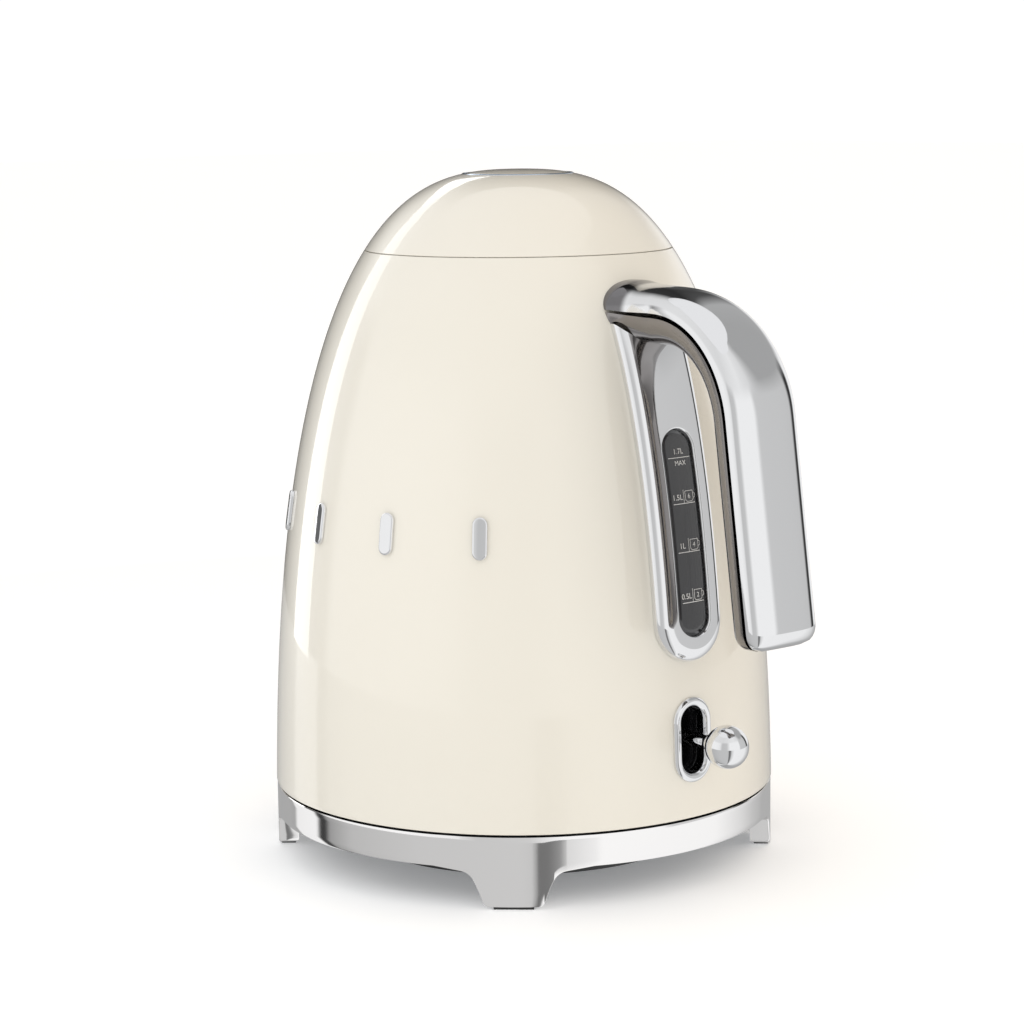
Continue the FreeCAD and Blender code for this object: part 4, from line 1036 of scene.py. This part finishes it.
def azimuth_ramp(owner, direction, stops):
    """Brightness by compass direction: stops are (degrees, linear value or colour), from -180 to 180."""
    parts = add(owner, "ShaderNodeSeparateXYZ")
    join(owner, direction, parts.inputs[0])
    angle = add(owner, "ShaderNodeMath", operation="ARCTAN2")
    join(owner, parts.outputs["Y"], angle.inputs[0])
    join(owner, parts.outputs["X"], angle.inputs[1])
    ramp = add(owner, "ShaderNodeValToRGB")
    elements = ramp.color_ramp.elements
    while len(elements) < len(stops):
        elements.new(0.5)
    for element, (degrees, value) in zip(elements, stops):
        element.position = (degrees + 180) / 360
        element.color = (*value, 1) if isinstance(value, tuple) else (value, value, value, 1)
    join(owner, map_range(owner, angle.outputs[0], -math.pi, math.pi), ramp.inputs["Fac"])
    return ramp.outputs["Color"], parts.outputs["Z"]


LOW_STOPS = [(-180, 0.42), (-173, 0.40), (-170, 0.9), (-151, 0.95), (-148.5, 0.04), (-144, 0.05),
             (-141, 0.34), (-126, 0.52), (-90, 0.60), (-42, 0.62), (-36, 0.60), (-34.5, 0.17), (-29, 0.19),
             (-24, 0.30), (-20, 0.70), (-12, 0.86), (-5, 1.0), (58, 0.97), (79, 0.74), (91, 0.57),
             (106, 0.45), (150, 0.40), (180, 0.42)]
WALL_STOPS = [(-180, 0.15), (-140, 0.15), (-134, 0.98), (-95, 1.0), (-72, 0.92), (-60, 0.60), (-38, 0.64),
              (-24, 1.0), (20, 1.0), (25, 0.66), (60, 0.62), (66, 0.04), (74, 0.05), (80, 1.0), (118, 0.9),
              (128, 0.08), (155, 0.10), (180, 0.15)]
HIGH_STOPS = [(-180, 0.62), (-165, 0.80), (-130, 0.86), (-60, 0.80), (0, 0.92), (24, 0.80), (40, 0.42),
              (80, 0.42), (110, 0.45), (122, 0.08), (135, 0.03), (155, 0.04), (166, 0.32), (180, 0.62)]
SOFT_STOPS = [(-180, 0.90), (-120, 0.90), (-30, 0.99), (10, (1.02, 0.98, 0.93)), (45, (0.98, 0.87, 0.75)),
              (90, (0.90, 0.79, 0.67)), (140, (0.88, 0.84, 0.80)), (180, 0.90)]


def world():
    """White to the camera, softly warm on one side for diffuse light, panelled for reflections."""
    sky = bpy.data.worlds.new("studio")
    sky.use_nodes = True
    back = next(n for n in sky.node_tree.nodes if n.type == "BACKGROUND")
    where = add(sky, "ShaderNodeTexCoord")
    panels, height = azimuth_ramp(sky, where.outputs["Generated"], LOW_STOPS)
    soft, _ = azimuth_ramp(sky, where.outputs["Generated"], SOFT_STOPS)
    reflected = mix_colors(sky, map_range(sky, height, 0.45, 0.85), panels, (0.92, 0.92, 0.93))
    rays = add(sky, "ShaderNodeLightPath")
    unseen = mix_colors(sky, rays.outputs["Is Glossy Ray"], soft, reflected)
    color = mix_colors(sky, rays.outputs["Is Camera Ray"], unseen, (1.05, 1.05, 1.05))
    join(sky, color, back.inputs["Color"])
    bpy.context.scene.world = sky


def glowing(name, strength):
    """A material that only gives off light, and its colour's socket."""
    material = bpy.data.materials.new(name)
    material.use_nodes = True
    material.node_tree.nodes.clear()
    glow = add(material, "ShaderNodeEmission")
    glow.inputs["Strength"].default_value = strength
    end = add(material, "ShaderNodeOutputMaterial")
    join(material, glow.outputs[0], end.inputs["Surface"])
    return material, glow.inputs["Color"]


def show_in_reflections_only(piece):
    piece.visible_camera = piece.visible_diffuse = piece.visible_shadow = piece.visible_transmission = False


def reflection_wall():
    """A ring of light and dark panels that only polished surfaces see."""
    points, count, radius, low, high = [], 144, 0.62, 0.0, 1.1
    for k in range(count):
        a = 2 * math.pi * k / count
        points += [(radius * math.cos(a), radius * math.sin(a), z) for z in (low, high)]
    faces = [(2 * k, 2 * ((k + 1) % count), 2 * ((k + 1) % count) + 1, 2 * k + 1) for k in range(count)]
    material, socket = glowing("panel_light", 1.0)
    where = add(material, "ShaderNodeTexCoord")
    low_color, height = azimuth_ramp(material, where.outputs["Object"], WALL_STOPS)
    high_color, _ = azimuth_ramp(material, where.outputs["Object"], HIGH_STOPS)
    rise = map_range(material, height, 0.34, 0.46)
    join(material, mix_colors(material, rise, low_color, high_color), socket)
    show_in_reflections_only(staged("panel_ring", points, faces, material))


# each (compass direction in degrees, height, half width) along the band, heights in metres
RIBBON = [(-160, 0.0, 0.085), (-160, 0.15, 0.085), (-160, 0.30, 0.08), (-161, 0.42, 0.075),
          (-165, 0.53, 0.07), (-173, 0.63, 0.065), (-184, 0.67, 0.06), (-198, 0.62, 0.055),
          (-212, 0.50, 0.05)]


def bright_ribbon():
    """A glowing band that leans over at its top: the tall reflection, seen by glossy surfaces only."""
    radius = 0.585
    path = np.array([(math.radians(a) * radius, z) for a, z, _ in RIBBON])
    along = unit(np.gradient(path, axis=0))
    across = np.stack([-along[:, 1], along[:, 0]], -1)
    points = []
    for (w, z), (dw, dz), (_, _, half) in zip(path, across, RIBBON):
        for side in (-1, 1):
            angle = (w + side * half * dw) / radius
            points.append((radius * math.cos(angle), radius * math.sin(angle), z + side * half * dz))
    faces = [(2 * k, 2 * k + 1, 2 * k + 3, 2 * k + 2) for k in range(len(RIBBON) - 1)]
    show_in_reflections_only(staged("window_ribbon", points, faces, glowing("window_light", 2.3)[0]))


def lamp(name, place, target, width, height, power):
    light = bpy.data.lights.new(name, "AREA")
    light.shape, light.size, light.size_y, light.energy = "RECTANGLE", width, height, power
    holder = new_object(name, light)
    holder.location = place
    holder.rotation_mode = "QUATERNION"
    holder.rotation_quaternion = (Vector(target) - Vector(place)).to_track_quat("-Z", "Y")
    holder.visible_camera = holder.visible_glossy = False


def camera():
    data = bpy.data.cameras.new("camera")
    data.lens, data.sensor_width = 97.33, 36.0
    holder = new_object("camera", data)
    azimuth, pitch, roll = math.radians(50.2), math.radians(8.871), math.radians(-0.633)
    level = Vector((-math.sin(azimuth), math.cos(azimuth), 0))
    forward = level * math.cos(pitch) - Vector((0, 0, math.sin(pitch)))
    right = forward.cross(Vector((0, 0, 1))).normalized()
    up = right.cross(forward)
    turned_right = right * math.cos(roll) + up * math.sin(roll)
    turned_up = turned_right.cross(forward)
    basis = Matrix((turned_right, turned_up, -forward)).transposed()
    holder.rotation_mode = "QUATERNION"
    holder.location = (0.7318, -0.6139, 0.26648)
    holder.rotation_quaternion = basis.to_quaternion()
    bpy.context.scene.camera = holder


floor()
world()
reflection_wall()
bright_ribbon()
lamp("soft_left", (-0.2, -1.3, 0.9), (0, 0, 0.12), 1.0, 1.2, 1.2)
lamp("soft_top", (0.1, -0.1, 1.7), (0, 0, 0), 1.4, 1.4, 1.6)
camera()
bpy.context.scene.view_settings.view_transform = "Standard"
